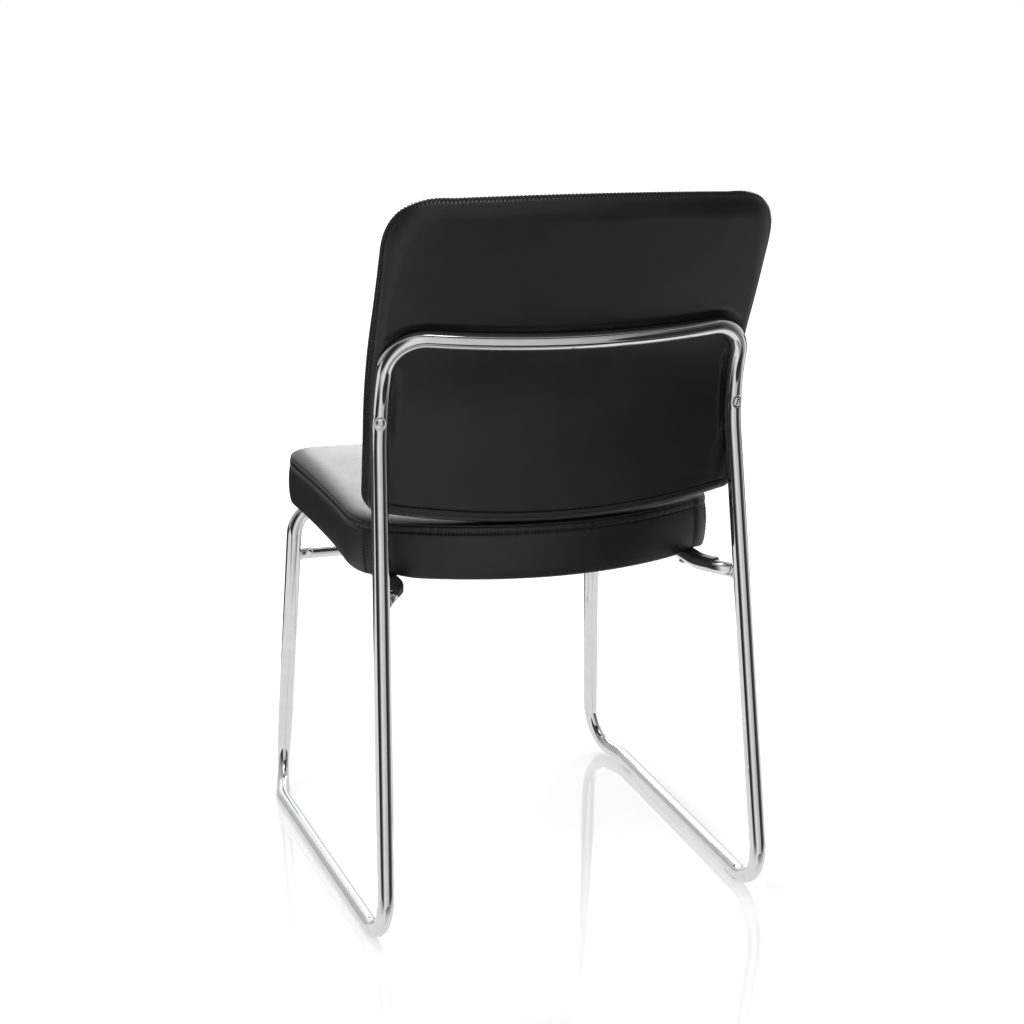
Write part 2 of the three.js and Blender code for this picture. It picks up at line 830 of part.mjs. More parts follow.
// A face that lies against the board. Every such face has the board's own loops, so that the
// layers keep the same gap all over.
function boardLoops(depth) {
  const edge = backLoop(back_board_inset, 1, depth);
  const middle = back_middle_shares.map((share) => backLoop(back_board_inset, share, depth));
  return [edge, ...middle];
}

function frontSideLoops(inset, low, drop) {
  const shoulder = back_side_depth - drop;
  const round = back_edge_round;
  return [
    backLoop(inset, 1, low),
    frontLoop(inset, 1, shoulder - round),
    frontLoop(inset + round * edge_seam_share, 1, shoulder - round * edge_ease_share),
    frontLoop(inset + round, 1, shoulder + round * edge_ease_share),
  ];
}

function frontCrownLoops(inset, drop) {
  return back_middle_shares.map((share) => {
    const rise = back_crown * (1 - share ** back_crown_flatness);
    return frontLoop(inset, share, back_side_depth - drop + rise);
  });
}

function makeBackFrontCover() {
  return loft([
    ...frontCrownLoops(leather, leather).reverse(),
    ...frontSideLoops(leather, back_seam_depth, leather).reverse(),
    ...frontSideLoops(0, back_seam_depth, 0),
    ...frontCrownLoops(0, 0),
  ]);
}

function makeBackRearCover() {
  const rim = back_seam_depth - contact_gap;
  const round = back_edge_round;
  const shell = toSolid(loft([
    ...boardLoops(0).slice(1).reverse(),
    backLoop(round, 1, 0),
    backLoop(round * edge_ease_share, 1, round * edge_ease_share),
    backLoop(0, 1, round),
    backLoop(0, 1, rim),
    backLoop(leather, 1, rim),
    backLoop(leather, 1, back_rear_pad),
    ...boardLoops(back_rear_pad),
  ]));
  return toGeometry(cutAll(shell, [frameRoom(1), frameRoom(-1), ...backScrewHoles(screw_diameter)]));
}

function backScrewHoles(diameter) {
  const reach = back_side_depth + tube_diameter;
  const radius = diameter / 2 + screw_clearance;
  return [1, -1].map((side) => {
    const { point, axis } = backScrewSeat(side);
    return plug(radius, -reach, reach, point, axis);
  });
}

function makeBackBoard() {
  const low = back_rear_pad + contact_gap;
  const high = low + back_board_thickness;
  const body = toSolid(loft([...boardLoops(low).reverse(), ...boardLoops(high)]));
  return toGeometry(cutAll(body, backScrewHoles(nut_barrel_diameter)));
}

function makeBackFoam() {
  const inset = leather + contact_gap;
  const low = back_rear_pad + back_board_thickness + 2 * contact_gap;
  const body = toSolid(loft([
    ...boardLoops(low).reverse(),
    ...frontSideLoops(inset, low, inset),
    ...frontCrownLoops(inset, inset),
  ]));
  const radius = nut_flange_diameter / 2 + contact_gap;
  const depth = nut_flange_thickness + screw_diameter;
  const pockets = [1, -1].map((side) => {
    const { point, axis } = backScrewSeat(side);
    return plug(radius, -board_reach - depth, -tube_radius, point, axis);
  });
  return toGeometry(cutAll(body, pockets));
}

// Fasteners

function turned(points) {
  return new THREE.LatheGeometry(points.map(([r, z]) => new THREE.Vector2(r, z)), turned_sides)
    .rotateX(half_turn / 2);
}

// A button head socket screw: the head's underside is at the origin, its shank points down.
function makeScrew(origin, axis, length) {
  const shank = screw_diameter / 2;
  const head = screw_head_diameter / 2;
  const top = screw_head_height;
  const across_corners = screw_socket / Math.cos(half_turn / socket_sides);
  const body = turned([
    [0, -length],
    [shank, -length],
    [shank, 0],
    [head, 0],
    [head, top * head_rim_share],
    [head * head_crown_share, top * head_crown_share],
    [head * head_flat_share, top],
    [0, top],
  ]);
  const corner = across_corners / 2;
  const deep = 2 * screw_socket_depth;
  const socket = new THREE.CylinderGeometry(corner, corner, deep, socket_sides);
  socket.rotateX(half_turn / 2);
  socket.translate(0, 0, top);
  const screw = toSolid(aimed(body, origin, axis));
  return toGeometry(screw.subtract(toSolid(aimed(socket, origin, axis))));
}

// A tee nut: its flange bears on the board's far side, its barrel stands in the board.
function makeTeeNut(origin, axis, board) {
  const bore = screw_diameter / 2 + screw_clearance / 2;
  const barrel = nut_barrel_diameter / 2;
  const flange = nut_flange_diameter / 2;
  const low = -board * nut_barrel_share;
  const body = turned([
    [bore, low],
    [barrel, low],
    [barrel, 0],
    [flange, 0],
    [flange, nut_flange_thickness],
    [bore, nut_flange_thickness],
    [bore, low],
  ]);
  return aimed(body, origin, axis);
}

// How far in front of the tube's axis the board's front face lies, along a back screw.
const board_reach = tube_radius + back_pad_behind_tube + contact_gap + back_board_thickness;

function makeBackScrew(side) {
  const { point, axis } = backScrewSeat(side);
  const seat = tube_radius - dimple_depth + contact_gap;
  const origin = point.clone().addScaledVector(axis, seat);
  return makeScrew(origin, axis, seat + board_reach);
}

function makeBackTeeNut(side) {
  const { point, axis } = backScrewSeat(side);
  const origin = point.clone().addScaledVector(axis, -board_reach - contact_gap);
  return makeTeeNut(origin, axis.clone().negate(), back_board_thickness);
}

function makeSeatScrew(point) {
  const low = rail_height - rail_radius - contact_gap;
  const origin = v3(point.x, point.y, low);
  return makeScrew(origin, v3(0, 0, -1), seat_board_high - low);
}

function makeSeatTeeNut(point) {
  const origin = v3(point.x, point.y, seat_board_high + contact_gap);
  return makeTeeNut(origin, v3(0, 0, 1), seat_board_thickness);
}

// Assembly

const chair = new THREE.Group();
const sides = [{ word: 'left', side: 1 }, { word: 'right', side: -1 }];

sides.forEach(({ word, side }) => {
  chair.add(makeMesh(`${word}_frame_tube`, makeFrameTube(side), chrome));
  chair.add(makeMesh(`${word}_seat_rail`, makeSeatRail(side), chrome));
  glideSeats(side).forEach((seat) => {
    chair.add(makeMesh(`${word}_${seat.place}_glide`, makeGlide(side, seat), clear_nylon));
  });
  seatScrews(side).forEach((screw) => {
    const place = `${word}_${screw.place}`;
    chair.add(makeMesh(`${place}_saddle`, makeSaddle(side, screw), black_plastic));
    chair.add(makeMesh(`${place}_seat_screw`, makeSeatScrew(screw.point), zinc));
    chair.add(makeMesh(`${place}_seat_tee_nut`, makeSeatTeeNut(screw.point), zinc));
  });
  chair.add(makeMesh(`${word}_back_screw`, makeBackScrew(side), chrome));
  chair.add(makeMesh(`${word}_back_tee_nut`, makeBackTeeNut(side), zinc));
});
chair.add(makeMesh('front_brace', makeBrace(), chrome));

chair.add(makeMesh('seat_underside_cloth', makeUndersideCloth(), black_cloth));
chair.add(makeMesh('seat_board', makeSeatBoard(), plywood));
chair.add(makeMesh('seat_foam', makeSeatFoam(), cream_foam));
chair.add(makeMesh('seat_cover', makeSeatCover(), black_leather));

chair.add(makeMesh('back_rear_cover', makeBackRearCover(), black_leather));
chair.add(makeMesh('back_board', makeBackBoard(), plywood));
chair.add(makeMesh('back_foam', makeBackFoam(), cream_foam));
chair.add(makeMesh('back_front_cover', makeBackFrontCover(), black_leather));

// The origin is on the floor under the middle of the chair's overall depth.
const extent = new THREE.Box3().setFromObject(chair);
chair.position.y = -(extent.min.y + extent.max.y) / 2;

export default chair;
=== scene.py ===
import math
import random

import bmesh
import bpy
import numpy as np
from mathutils import Matrix, Vector


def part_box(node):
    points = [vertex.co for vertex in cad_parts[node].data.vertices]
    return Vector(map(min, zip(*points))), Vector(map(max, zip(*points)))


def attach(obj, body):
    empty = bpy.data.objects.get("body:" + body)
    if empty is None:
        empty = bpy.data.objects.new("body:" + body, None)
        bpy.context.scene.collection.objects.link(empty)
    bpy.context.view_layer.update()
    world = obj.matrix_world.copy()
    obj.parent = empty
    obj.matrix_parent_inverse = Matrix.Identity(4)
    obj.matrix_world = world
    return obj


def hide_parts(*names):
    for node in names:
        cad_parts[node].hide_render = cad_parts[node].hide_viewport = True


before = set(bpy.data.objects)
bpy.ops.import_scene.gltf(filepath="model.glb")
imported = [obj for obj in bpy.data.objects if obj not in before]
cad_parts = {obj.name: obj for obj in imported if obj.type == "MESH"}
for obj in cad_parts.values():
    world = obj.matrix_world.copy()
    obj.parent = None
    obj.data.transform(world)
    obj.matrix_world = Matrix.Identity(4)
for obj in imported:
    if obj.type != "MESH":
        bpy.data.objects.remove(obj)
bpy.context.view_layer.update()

SIDES = ((1, "left"), (-1, "right"))
MM = 0.001

# Sizes in millimetres, as in the CAD source
GAP = 0.3
TUBE_RADIUS, RAIL_RADIUS, BRACE_RADIUS = 9.5, 8.0, 7.0
GLIDE_SOLE = 1.2
RUNNER_HEIGHT = GLIDE_SOLE + TUBE_RADIUS
RUNNER_FRONT_WIDTH, RUNNER_REAR_WIDTH = 481.0, 457.0
LEG_TOP_WIDTH, LEG_FOOT_WIDTH, HOOP_WIDTH = 411.0, 446.0, 411.0
FRAME_DEPTH, LEG_LEAN, UPRIGHT_LEAN, HOOP_SETBACK = 534.0, 29.0, 90.0, 33.0
FRONT_TUBE_HEIGHT, BRACE_HEIGHT, LUMBAR_HEIGHT, HOOP_HEIGHT = 391.0, 325.0, 596.0, 684.0
FOOT_KICK_HEIGHT, FOOT_KICK_DEPTH = 14.0, 78.0
LEG_TOP_BEND, FOOT_BEND, RUNNER_BEND, REAR_FLOOR_BEND = 40.0, 46.0, 60.0, 55.0
LUMBAR_BEND, HOOP_CORNER_BEND, HOOP_BOW_START = 190.0, 44.0, 78.0
RAIL_SPACING, RAIL_BEND, RAIL_BEND_SETBACK = 368.0, 40.0, 50.0
SADDLE_WALL, SADDLE_WIDTH, SADDLE_LENGTH = 2.2, 18.8, 80.0
SADDLE_BEHIND_BEND, SADDLE_END_GAP, SADDLE_CORNER, SADDLE_SKIRT = 23.0, 8.0, 5.0, 0.6
REAR_SCREW_SETBACK = 43.0
DUST_CLOTH = 1.0

SEAT_WIDTH, SEAT_DEPTH, SEAT_REAR_WIDTH, SEAT_REAR_BOW = 438.0, 392.0, 368.0, 52.0
SEAT_FRONT_OVERHANG, SEAT_FRONT_PULL, SEAT_SIDE_PULL = 14.0, 2.0, 2.5
SEAT_FRONT_CORNER, SEAT_REAR_CORNER = 52.0, 65.0
SEAT_BOXING, SEAT_CROWN, SEAT_REAR_CROWN_SHARE = 58.0, 12.5, 0.3

BACK_WIDTH, BACK_BOW = 438.0, 25.0
BACK_LOWER_LEAN, BACK_RECLINE = math.radians(3.5), math.radians(24.5)
BACK_BEND, BACK_BELOW, BACK_ABOVE = 250.0, 122.0, 271.0
BACK_TOP_ARCH, BACK_BOTTOM_SWEEP = 9.0, 16.0
BACK_TOP_CORNER, BACK_BOTTOM_CORNER, BACK_SIDE_PULL = 65.0, 18.0, 1.5
BACK_SIDE_DEPTH, BACK_TOP_DEPTH, BACK_SEAM_DEPTH = 37.0, 22.0, 17.0
BACK_CROWN, BACK_TUBE_SINK = 8.0, 6.6

SCREW_DIAMETER, HEAD_DIAMETER, HEAD_HEIGHT = 6.0, 10.5, 3.3
SOCKET_SIZE, SOCKET_DEPTH = 4.0, 2.0
BACK_SCREW_HEIGHT, DIMPLE_DEPTH, DIMPLE_DIAMETER = 588.0, 2.2, 14.0

SEAT_UNDERSIDE = FRONT_TUBE_HEIGHT + TUBE_RADIUS + GAP
SEAT_HEM = SEAT_UNDERSIDE + DUST_CLOTH + GAP
SEAT_SEAM = SEAT_HEM + SEAT_BOXING
RAIL_HEIGHT = SEAT_UNDERSIDE - GAP - SADDLE_WALL - GAP - RAIL_RADIUS
FRONT_FOOT_Y, REAR_FOOT_Y = -FRAME_DEPTH / 2, FRAME_DEPTH / 2

# Steps of the drawn lines
LINE_STEP, RAIL_STEP, FINE_STEP = math.radians(3.0), math.radians(2.0), math.radians(1.0)
STRAIGHT_STEP, SHORT_STEP = 40.0, 20.0

UP = np.array((0.0, 0.0, 1.0))


def vec(*xyz):
    return np.array(xyz, float)


def unit(v):
    return v / np.linalg.norm(v)


def unit_rows(rows):
    return rows / np.linalg.norm(rows, axis=-1, keepdims=True)


def mix(a, b, t):
    return a + (b - a) * t


def smooth(t):
    t = np.clip(t, 0.0, 1.0)
    return t * t * (3 - 2 * t)


def quarter(steps):
    """The angles of a quarter turn."""
    return [math.pi / 2 * k / steps for k in range(steps + 1)]


def circle(u, v, sides):
    """The unit circle in the plane of two vectors."""
    turns = 2 * math.pi * np.arange(sides) / sides
    return np.outer(np.cos(turns), u) + np.outer(np.sin(turns), v)


def leg_point(side, height):
    share = (height - RUNNER_HEIGHT) / (FRONT_TUBE_HEIGHT - RUNNER_HEIGHT)
    half = mix(LEG_FOOT_WIDTH, LEG_TOP_WIDTH, share) / 2
    return vec(side * half, FRONT_FOOT_Y + LEG_LEAN * share, height)


SEAT_FRONT_Y = leg_point(1, FRONT_TUBE_HEIGHT)[1] - SEAT_FRONT_OVERHANG
# The CAD model is centred on its box, so everything here moves along Y by the same amount.
SHIFT_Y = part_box("seat_cover")[0].y / MM - SEAT_FRONT_Y


# Lines


def bent_line(corners, bends, step=LINE_STEP, straight_step=STRAIGHT_STEP):
    """Points and directions along straight runs joined by round bends."""
    points, tangents = [corners[0]], [unit(corners[1] - corners[0])]
    for i in range(1, len(corners) - 1):
        a, b, c = corners[i - 1], corners[i], corners[i + 1]
        inward, outward = unit(b - a), unit(c - b)
        turn = math.acos(float(np.clip(inward @ outward, -1, 1)))
        if turn < 1e-4:
            continue
        start = b - inward * bends[i] * math.tan(turn / 2)
        axis = unit(np.cross(inward, outward))
        centre = start + np.cross(axis, inward) * bends[i]
        add_straight(points, tangents, start, inward, straight_step)
        steps = max(3, math.ceil(turn / step))
        for k in range(1, steps + 1):
            spin = np.array(Matrix.Rotation(turn * k / steps, 3, Vector(axis)))
            points.append(centre + spin @ (start - centre))
            tangents.append(spin @ inward)
    add_straight(points, tangents, corners[-1], tangents[-1], straight_step)
    return np.array(points), np.array(tangents)


def add_straight(points, tangents, end, direction, step):
    begin = points[-1]
    count = max(1, int(np.linalg.norm(end - begin) // step))
    for k in range(1, count + 1):
        points.append(mix(begin, end, k / count))
        tangents.append(direction)


def runs_of(points):
    """The distance along a line at each of its points."""
    return np.concatenate([[0], np.cumsum(np.linalg.norm(np.diff(points, axis=0), axis=1))])


def sampled(at, runs, rows):
    """Rows read at distances along a line."""
    return np.stack([np.interp(at, runs, column) for column in rows.T], -1)


def resampled(line, at):
    points, tangents = line
    runs = runs_of(points)
    return sampled(at, runs, points), unit_rows(sampled(at, runs, tangents))


def stretch(line, start, end, step):
    """The part of a line between two distances along it."""
    return resampled(line, np.linspace(start, end, max(2, int((end - start) / step) + 1)))


def line_length(line):
    return float(np.linalg.norm(np.diff(line[0], axis=0), axis=1).sum())


def upright_corners(side):
    share = (LUMBAR_HEIGHT - RUNNER_HEIGHT) / (HOOP_HEIGHT - RUNNER_HEIGHT)
    lumbar = mix(RUNNER_REAR_WIDTH, HOOP_WIDTH, share) / 2
    return [
        vec(side * RUNNER_REAR_WIDTH / 2, REAR_FOOT_Y, RUNNER_HEIGHT),
        vec(side * lumbar, REAR_FOOT_Y - UPRIGHT_LEAN, LUMBAR_HEIGHT),
        vec(side * HOOP_WIDTH / 2, REAR_FOOT_Y - UPRIGHT_LEAN + HOOP_SETBACK, HOOP_HEIGHT),
    ]


def upright_at(side, height):
    points, tangents = bent_line(upright_corners(side), [0, LUMBAR_BEND, 0], FINE_STEP)
    above = int(np.argmax(points[:, 2] > height))
    low, high = points[above - 1], points[above]
    share = (height - low[2]) / (high[2] - low[2])
    return mix(low, high, share), unit(mix(tangents[above - 1], tangents[above], share))


WING_ANCHOR = upright_at(1, BACK_SCREW_HEIGHT)[0]


def back_bulge(x):
    """How far the bowed back reaches behind its side edges."""
    across = np.asarray(x, float) / (BACK_WIDTH / 2)
    return BACK_BOW * (1 - across * across)


def back_profile(run):
    """Place and lean of the back's wing edge, for an array of distances along its profile."""
    run = np.asarray(run, float)
    y0 = WING_ANCHOR[1] - TUBE_RADIUS + BACK_TUBE_SINK - back_bulge(WING_ANCHOR[0])
    turn = BACK_RECLINE - BACK_LOWER_LEAN
    bend_run = BACK_BEND * turn
    lean = BACK_LOWER_LEAN + np.clip(run / bend_run, 0, 1) * turn
    rest = np.maximum(run - bend_run, 0)
    below = np.minimum(run, 0)
    y = y0 + BACK_BEND * (math.cos(BACK_LOWER_LEAN) - np.cos(lean))
    z = BACK_SCREW_HEIGHT + BACK_BEND * (np.sin(lean) - math.sin(BACK_LOWER_LEAN))
    y = y + rest * math.sin(BACK_RECLINE) + below * math.sin(BACK_LOWER_LEAN)
    z = z + rest * math.cos(BACK_RECLINE) + below * math.cos(BACK_LOWER_LEAN)
    return y, z, lean


def on_back(x, run, depth):
    y, z, lean = back_profile(run)
    forward = depth - back_bulge(x)
    return np.stack([x + 0 * forward, y - forward * np.cos(lean), z + forward * np.sin(lean)], -1)


def hoop_middle():
    _, lumbar, corner = upright_corners(1)
    lean = math.atan2(corner[1] - lumbar[1], corner[2] - lumbar[2])
    bent_y, bent_z, _ = back_profile(BACK_BEND * (BACK_RECLINE - BACK_LOWER_LEAN))
    wing_y = bent_y + (corner[2] - bent_z) * math.tan(BACK_RECLINE)
    stand_off = (TUBE_RADIUS + GAP) / math.cos(BACK_RECLINE)
    room = wing_y + BACK_BOW + stand_off - corner[1]
    bow = room / (math.cos(lean) + math.sin(lean) * math.tan(BACK_RECLINE))
    return corner[1] + bow * math.cos(lean), corner[2] - bow * math.sin(lean)


def frame_line(side, step=LINE_STEP):
    """Half of the frame, from the middle of the front tube to the middle of the hoop."""
    top, kick = leg_point(side, FRONT_TUBE_HEIGHT), leg_point(side, FOOT_KICK_HEIGHT)
    foot = vec(side * RUNNER_FRONT_WIDTH / 2, kick[1] + FOOT_KICK_DEPTH, RUNNER_HEIGHT)
    hoop = hoop_middle()
    corners = [vec(0, top[1], top[2]), top, kick, foot, *upright_corners(side)]
    corners += [vec(side * HOOP_BOW_START, *hoop), vec(0, *hoop)]
    into, out = unit(corners[7] - corners[6]), unit(corners[8] - corners[7])
    bow_bend = HOOP_BOW_START / math.tan(math.acos(float(into @ out)) / 2)
    bends = [0, LEG_TOP_BEND, FOOT_BEND, RUNNER_BEND, REAR_FLOOR_BEND]
    return bent_line(corners, bends + [LUMBAR_BEND, HOOP_CORNER_BEND, bow_bend, 0], step)


RAIL_SINK, WELD_SINK = 3.0, 2.0


def rail_line(side, start):
    """The rail's line from a point that lies the given distance in front of the weld."""
    weld = upright_at(side, RAIL_HEIGHT)[0]
    x = side * RAIL_SPACING / 2
    bend = vec(x, weld[1] - RAIL_BEND_SETBACK, RAIL_HEIGHT)
    begin = weld + unit(bend - weld) * start
    front_y = leg_point(side, FRONT_TUBE_HEIGHT)[1] + TUBE_RADIUS - RAIL_SINK
    return bent_line([begin, bend, vec(x, front_y, RAIL_HEIGHT)], [0, RAIL_BEND, 0], RAIL_STEP)


# Meshes


def linked(name, data):
    obj = bpy.data.objects.new(name, data)
    bpy.context.scene.collection.objects.link(obj)
    return obj


def make_object(name, points, faces, material):
    mesh = bpy.data.meshes.new(name)
    placed = (np.reshape(points, (-1, 3)) + vec(0, SHIFT_Y, 0)) * MM
    mesh.from_pydata([tuple(p) for p in placed], [], [tuple(int(i) for i in f) for f in faces])
    mesh.validate()
    bm = bmesh.new()
    bm.from_mesh(mesh)
    bmesh.ops.recalc_face_normals(bm, faces=bm.faces)
    bm.to_mesh(mesh)
    bm.free()
    mesh.polygons.foreach_set("use_smooth", [True] * len(mesh.polygons))
    mesh.materials.append(material)
    obj = linked(name, mesh)
    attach(obj, "root")
    return obj


def ring_faces(rings, sides):
    faces = []
    for r in range(rings - 1):
        for i in range(sides):
            j = (i + 1) % sides
            faces.append((r * sides + i, r * sides + j, (r + 1) * sides + j, (r + 1) * sides + i))
    return faces


def capped_faces(rings, sides):
    """The faces through rings of points, with a flat cap at each end."""
    caps = [tuple(first + i for i in range(sides)) for first in (0, (rings - 1) * sides)]
    return ring_faces(rings, sides) + caps


def closed_object(name, rings, material):
    """A skin through rings of points, closed by a fan at each end."""
    count, sides = len(rings), len(rings[0])
    faces = ring_faces(count, sides)
    for hub, first in ((count * sides, 0), (count * sides + 1, (count - 1) * sides)):
        faces += [(hub, first + i, first + (i + 1) % sides) for i in range(sides)]
    points = [*np.reshape(rings, (-1, 3)), rings[0].mean(0), rings[-1].mean(0)]
    return make_object(name, points, faces, material)


def sweep(line, radii, sides):
    """A tube's rings along a line, carried along it without twist."""
    points, tangents = line
    across = unit(UP - tangents[0] * (UP @ tangents[0]))
    rings = []
    for point, tangent, (a, b) in zip(points, tangents, np.broadcast_to(radii, (len(points), 2))):
        across = unit(across - tangent * (across @ tangent))
        rings.append(point + circle(across * a, np.cross(tangent, across) * b, sides))
    return np.array(rings)


# Materials


class Nodes:
    """A small helper that builds the shader nodes of a material or of the world."""

    def __init__(self, owner, bare=False):
        owner.use_nodes = True
        self.owner, self.tree = owner, owner.node_tree
        if bare:
            self.tree.nodes.clear()
        self.shader = self.tree.nodes.get("Principled BSDF")

    def set(self, **values):
        for key, value in values.items():
            self.shader.inputs[key.replace("_", " ")].default_value = value
        return self

    def add(self, kind, inputs=None, **settings):
        node = self.tree.nodes.new(kind)
        for key, value in settings.items():
            setattr(node, key, value)
        for key, value in (inputs or {}).items():
            if isinstance(value, bpy.types.NodeSocket):
                self.tree.links.new(value, node.inputs[key])
            else:
                node.inputs[key].default_value = value
        return node

    def link(self, source, target):
        self.tree.links.new(source, self.shader.inputs[target])

    def place(self, kind="Object"):
        return self.add("ShaderNodeTexCoord").outputs[kind]

    def calc(self, operation, *values):
        return self.add("ShaderNodeMath", dict(enumerate(values)), operation=operation).outputs[0]

    def vector(self, operation, *values, output="Vector"):
        node = self.add("ShaderNodeVectorMath", dict(enumerate(values)), operation=operation)
        return node.outputs[output]

    def noise(self, scale, detail=3.0, rough=0.5, stretch_by=None):
        vector = self.place()
        if stretch_by:
            vector = self.add("ShaderNodeMapping", {0: vector, "Scale": stretch_by}).outputs[0]
        values = {"Vector": vector, "Scale": scale, "Detail": detail, "Roughness": rough}
        return self.add("ShaderNodeTexNoise", values).outputs["Fac"]

    def ramp(self, fac, low, high, start=0.0, end=1.0, **settings):
        values = {"Value": fac, "From Min": start, "From Max": end, "To Min": low, "To Max": high}
        return self.add("ShaderNodeMapRange", values, **settings).outputs["Result"]

    def fade(self, value, start, end):
        return self.ramp(value, 0.0, 1.0, start, end, interpolation_type="SMOOTHSTEP")

    def tint(self, fac, low, high, start=0.3, end=0.7):
        node = self.add("ShaderNodeValToRGB", {"Fac": fac})
        for element, position, colour in zip(node.color_ramp.elements, (start, end), (low, high)):
            element.position = position
            element.color = (*colour, 1)
        return node.outputs["Color"]

    def bump(self, height, strength, distance, below=None):
        inputs = {"Height": height, "Strength": strength, "Distance": distance}
        if below is not None:
            inputs["Normal"] = below
        return self.add("ShaderNodeBump", inputs).outputs["Normal"]

    def blend(self, fac, first, second):
        return self.add("ShaderNodeMixShader", {0: fac, 1: first, 2: second}).outputs[0]


def new_material(name, **settings):
    return Nodes(bpy.data.materials.new(name)).set(**settings)


def grained(name, colour, rough, relief, **settings):
    """A material with three noises, each given as its scale, detail and roughness, and then
    what it drives: the colour, the roughness and the relief."""
    m = new_material(name, **settings)
    m.link(m.tint(m.noise(*colour[0]), *colour[1:]), "Base Color")
    m.link(m.ramp(m.noise(*rough[0]), *rough[1:]), "Roughness")
    m.link(m.bump(m.noise(*relief[0]), *relief[1:]), "Normal")
    return m.owner


def leather_material():
    """Black faux leather: pores and cell creases, faint streaks and a broad unevenness."""
    m = new_material("black_faux_leather", Specular_IOR_Level=0.5)
    place = m.place()
    size = {"Vector": place, "Scale": 900.0}
    cells = m.add("ShaderNodeTexVoronoi", size, feature="DISTANCE_TO_EDGE").outputs["Distance"]
    size = {"Vector": place, "Scale": 2200.0, "Detail": 2.0}
    pores = m.add("ShaderNodeTexNoise", size).outputs["Fac"]
    broad = m.noise(14.0, 3.0)
    streak = m.noise(420.0, 2.0, 0.5, (0.25, 0.25, 2.5))
    m.link(m.tint(broad, (0.0050, 0.0050, 0.0052), (0.0080, 0.0080, 0.0083)), "Base Color")
    creases = m.ramp(cells, 0.0, 1.0, 0.0, 0.25)
    grain = m.calc("ADD", creases, m.ramp(pores, -0.25, 0.25))
    uneven = m.ramp(broad, -0.015, 0.015, 0.3, 0.7)
    m.link(m.calc("ADD", m.ramp(streak, 0.385, 0.415, 0.3, 0.7), uneven), "Roughness")
    coarse = m.bump(m.noise(30.0, 2.0), 0.008, 0.0010)
    m.link(m.bump(grain, 0.16, 0.00012, coarse), "Normal")
    return m.owner


def thread_material():
    m = new_material("black_thread", Roughness=0.9, Specular_IOR_Level=0.2)
    m.link(m.tint(m.noise(1500.0, 2.0), (0.001, 0.001, 0.001), (0.006, 0.006, 0.006)), "Base Color")
    wave = {"Vector": m.place(), "Scale": 900.0, "Distortion": 1.0}
    m.link(m.bump(m.add("ShaderNodeTexWave", wave).outputs["Fac"], 0.5, 0.0002), "Normal")
    return m.owner


def dust_cloth_material():
    m = new_material("spunbond_cloth", Roughness=0.95, Sheen_Weight=0.2)
    fibre = m.add("ShaderNodeTexVoronoi", {"Vector": m.place(), "Scale": 650.0}).outputs["Distance"]
    m.link(m.tint(fibre, (0.008, 0.008, 0.008), (0.03, 0.03, 0.03), 0.1, 0.8), "Base Color")
    m.link(m.bump(fibre, 0.6, 0.0003), "Normal")
    return m.owner


def plywood_material():
    m = new_material("birch_plywood", Roughness=0.7)
    grain = m.noise(30.0, 4.0, 0.6, (1.0, 14.0, 14.0))
    m.link(m.tint(grain, (0.36, 0.22, 0.11), (0.58, 0.40, 0.22)), "Base Color")
    m.link(m.bump(grain, 0.2, 0.0003), "Normal")
    return m.owner


CHROME = grained(
    "polished_chrome", ((60.0, 4.0), (0.80, 0.80, 0.81), (0.86, 0.86, 0.87)),
    ((35.0, 5.0, 0.6), 0.0154, 0.033, 0.3, 0.7), ((18.0, 2.0), 0.05, 0.0004), Metallic=1.0,
)
PLASTIC = grained(
    "black_moulded_plastic", ((300.0, 3.0), (0.010, 0.010, 0.010), (0.018, 0.018, 0.018)),
    ((120.0, 3.0), 0.38, 0.55), ((1600.0, 2.0), 0.25, 0.0001),
)
NYLON = grained(
    "natural_nylon", ((90.0, 3.0), (0.55, 0.55, 0.50), (0.66, 0.66, 0.60)),
    ((200.0, 2.0), 0.35, 0.5), ((700.0, 2.0), 0.2, 0.0001),
    Subsurface_Weight=0.15, Subsurface_Scale=0.002,
)
ZINC = grained(
    "zinc_plate", ((250.0, 3.0), (0.50, 0.50, 0.48), (0.62, 0.62, 0.60)),
    ((500.0, 4.0), 0.25, 0.45), ((900.0, 2.0), 0.15, 0.0001), Metallic=1.0,
)
LEATHER, THREAD = leather_material(), thread_material()
DUST, PLYWOOD = dust_cloth_material(), plywood_material()


def paint(node, material):
    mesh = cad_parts[node].data
    mesh.materials.clear()
    mesh.materials.append(material)


# Frame

TUBE_SIDES, RAIL_SIDES = 72, 48
# The tube is squashed a little at its low kick: half sizes there, and place and reach
FOOT_SQUASH_WIDTH, FOOT_SQUASH_DEPTH = 7.4, 10.2
FOOT_SQUASH_SHIFT, FOOT_SQUASH_REACH = 13.0, 34.0
DIMPLE_REACH, DIMPLE_STEP, LEAST_STEP = 18, 0.5, 0.2
DIMPLE_SLOPE, DIMPLE_LIP, DIMPLE_SWELL, SWELL_WIDTH = 1.6, 1.2, 0.5, 3.0


def screw_seat(side):
    point, tangent = upright_at(side, BACK_SCREW_HEIGHT)
    outward = vec(2 * BACK_BOW * point[0] / (BACK_WIDTH / 2) ** 2, 1, 0)
    return point, unit(outward - tangent * (outward @ tangent))


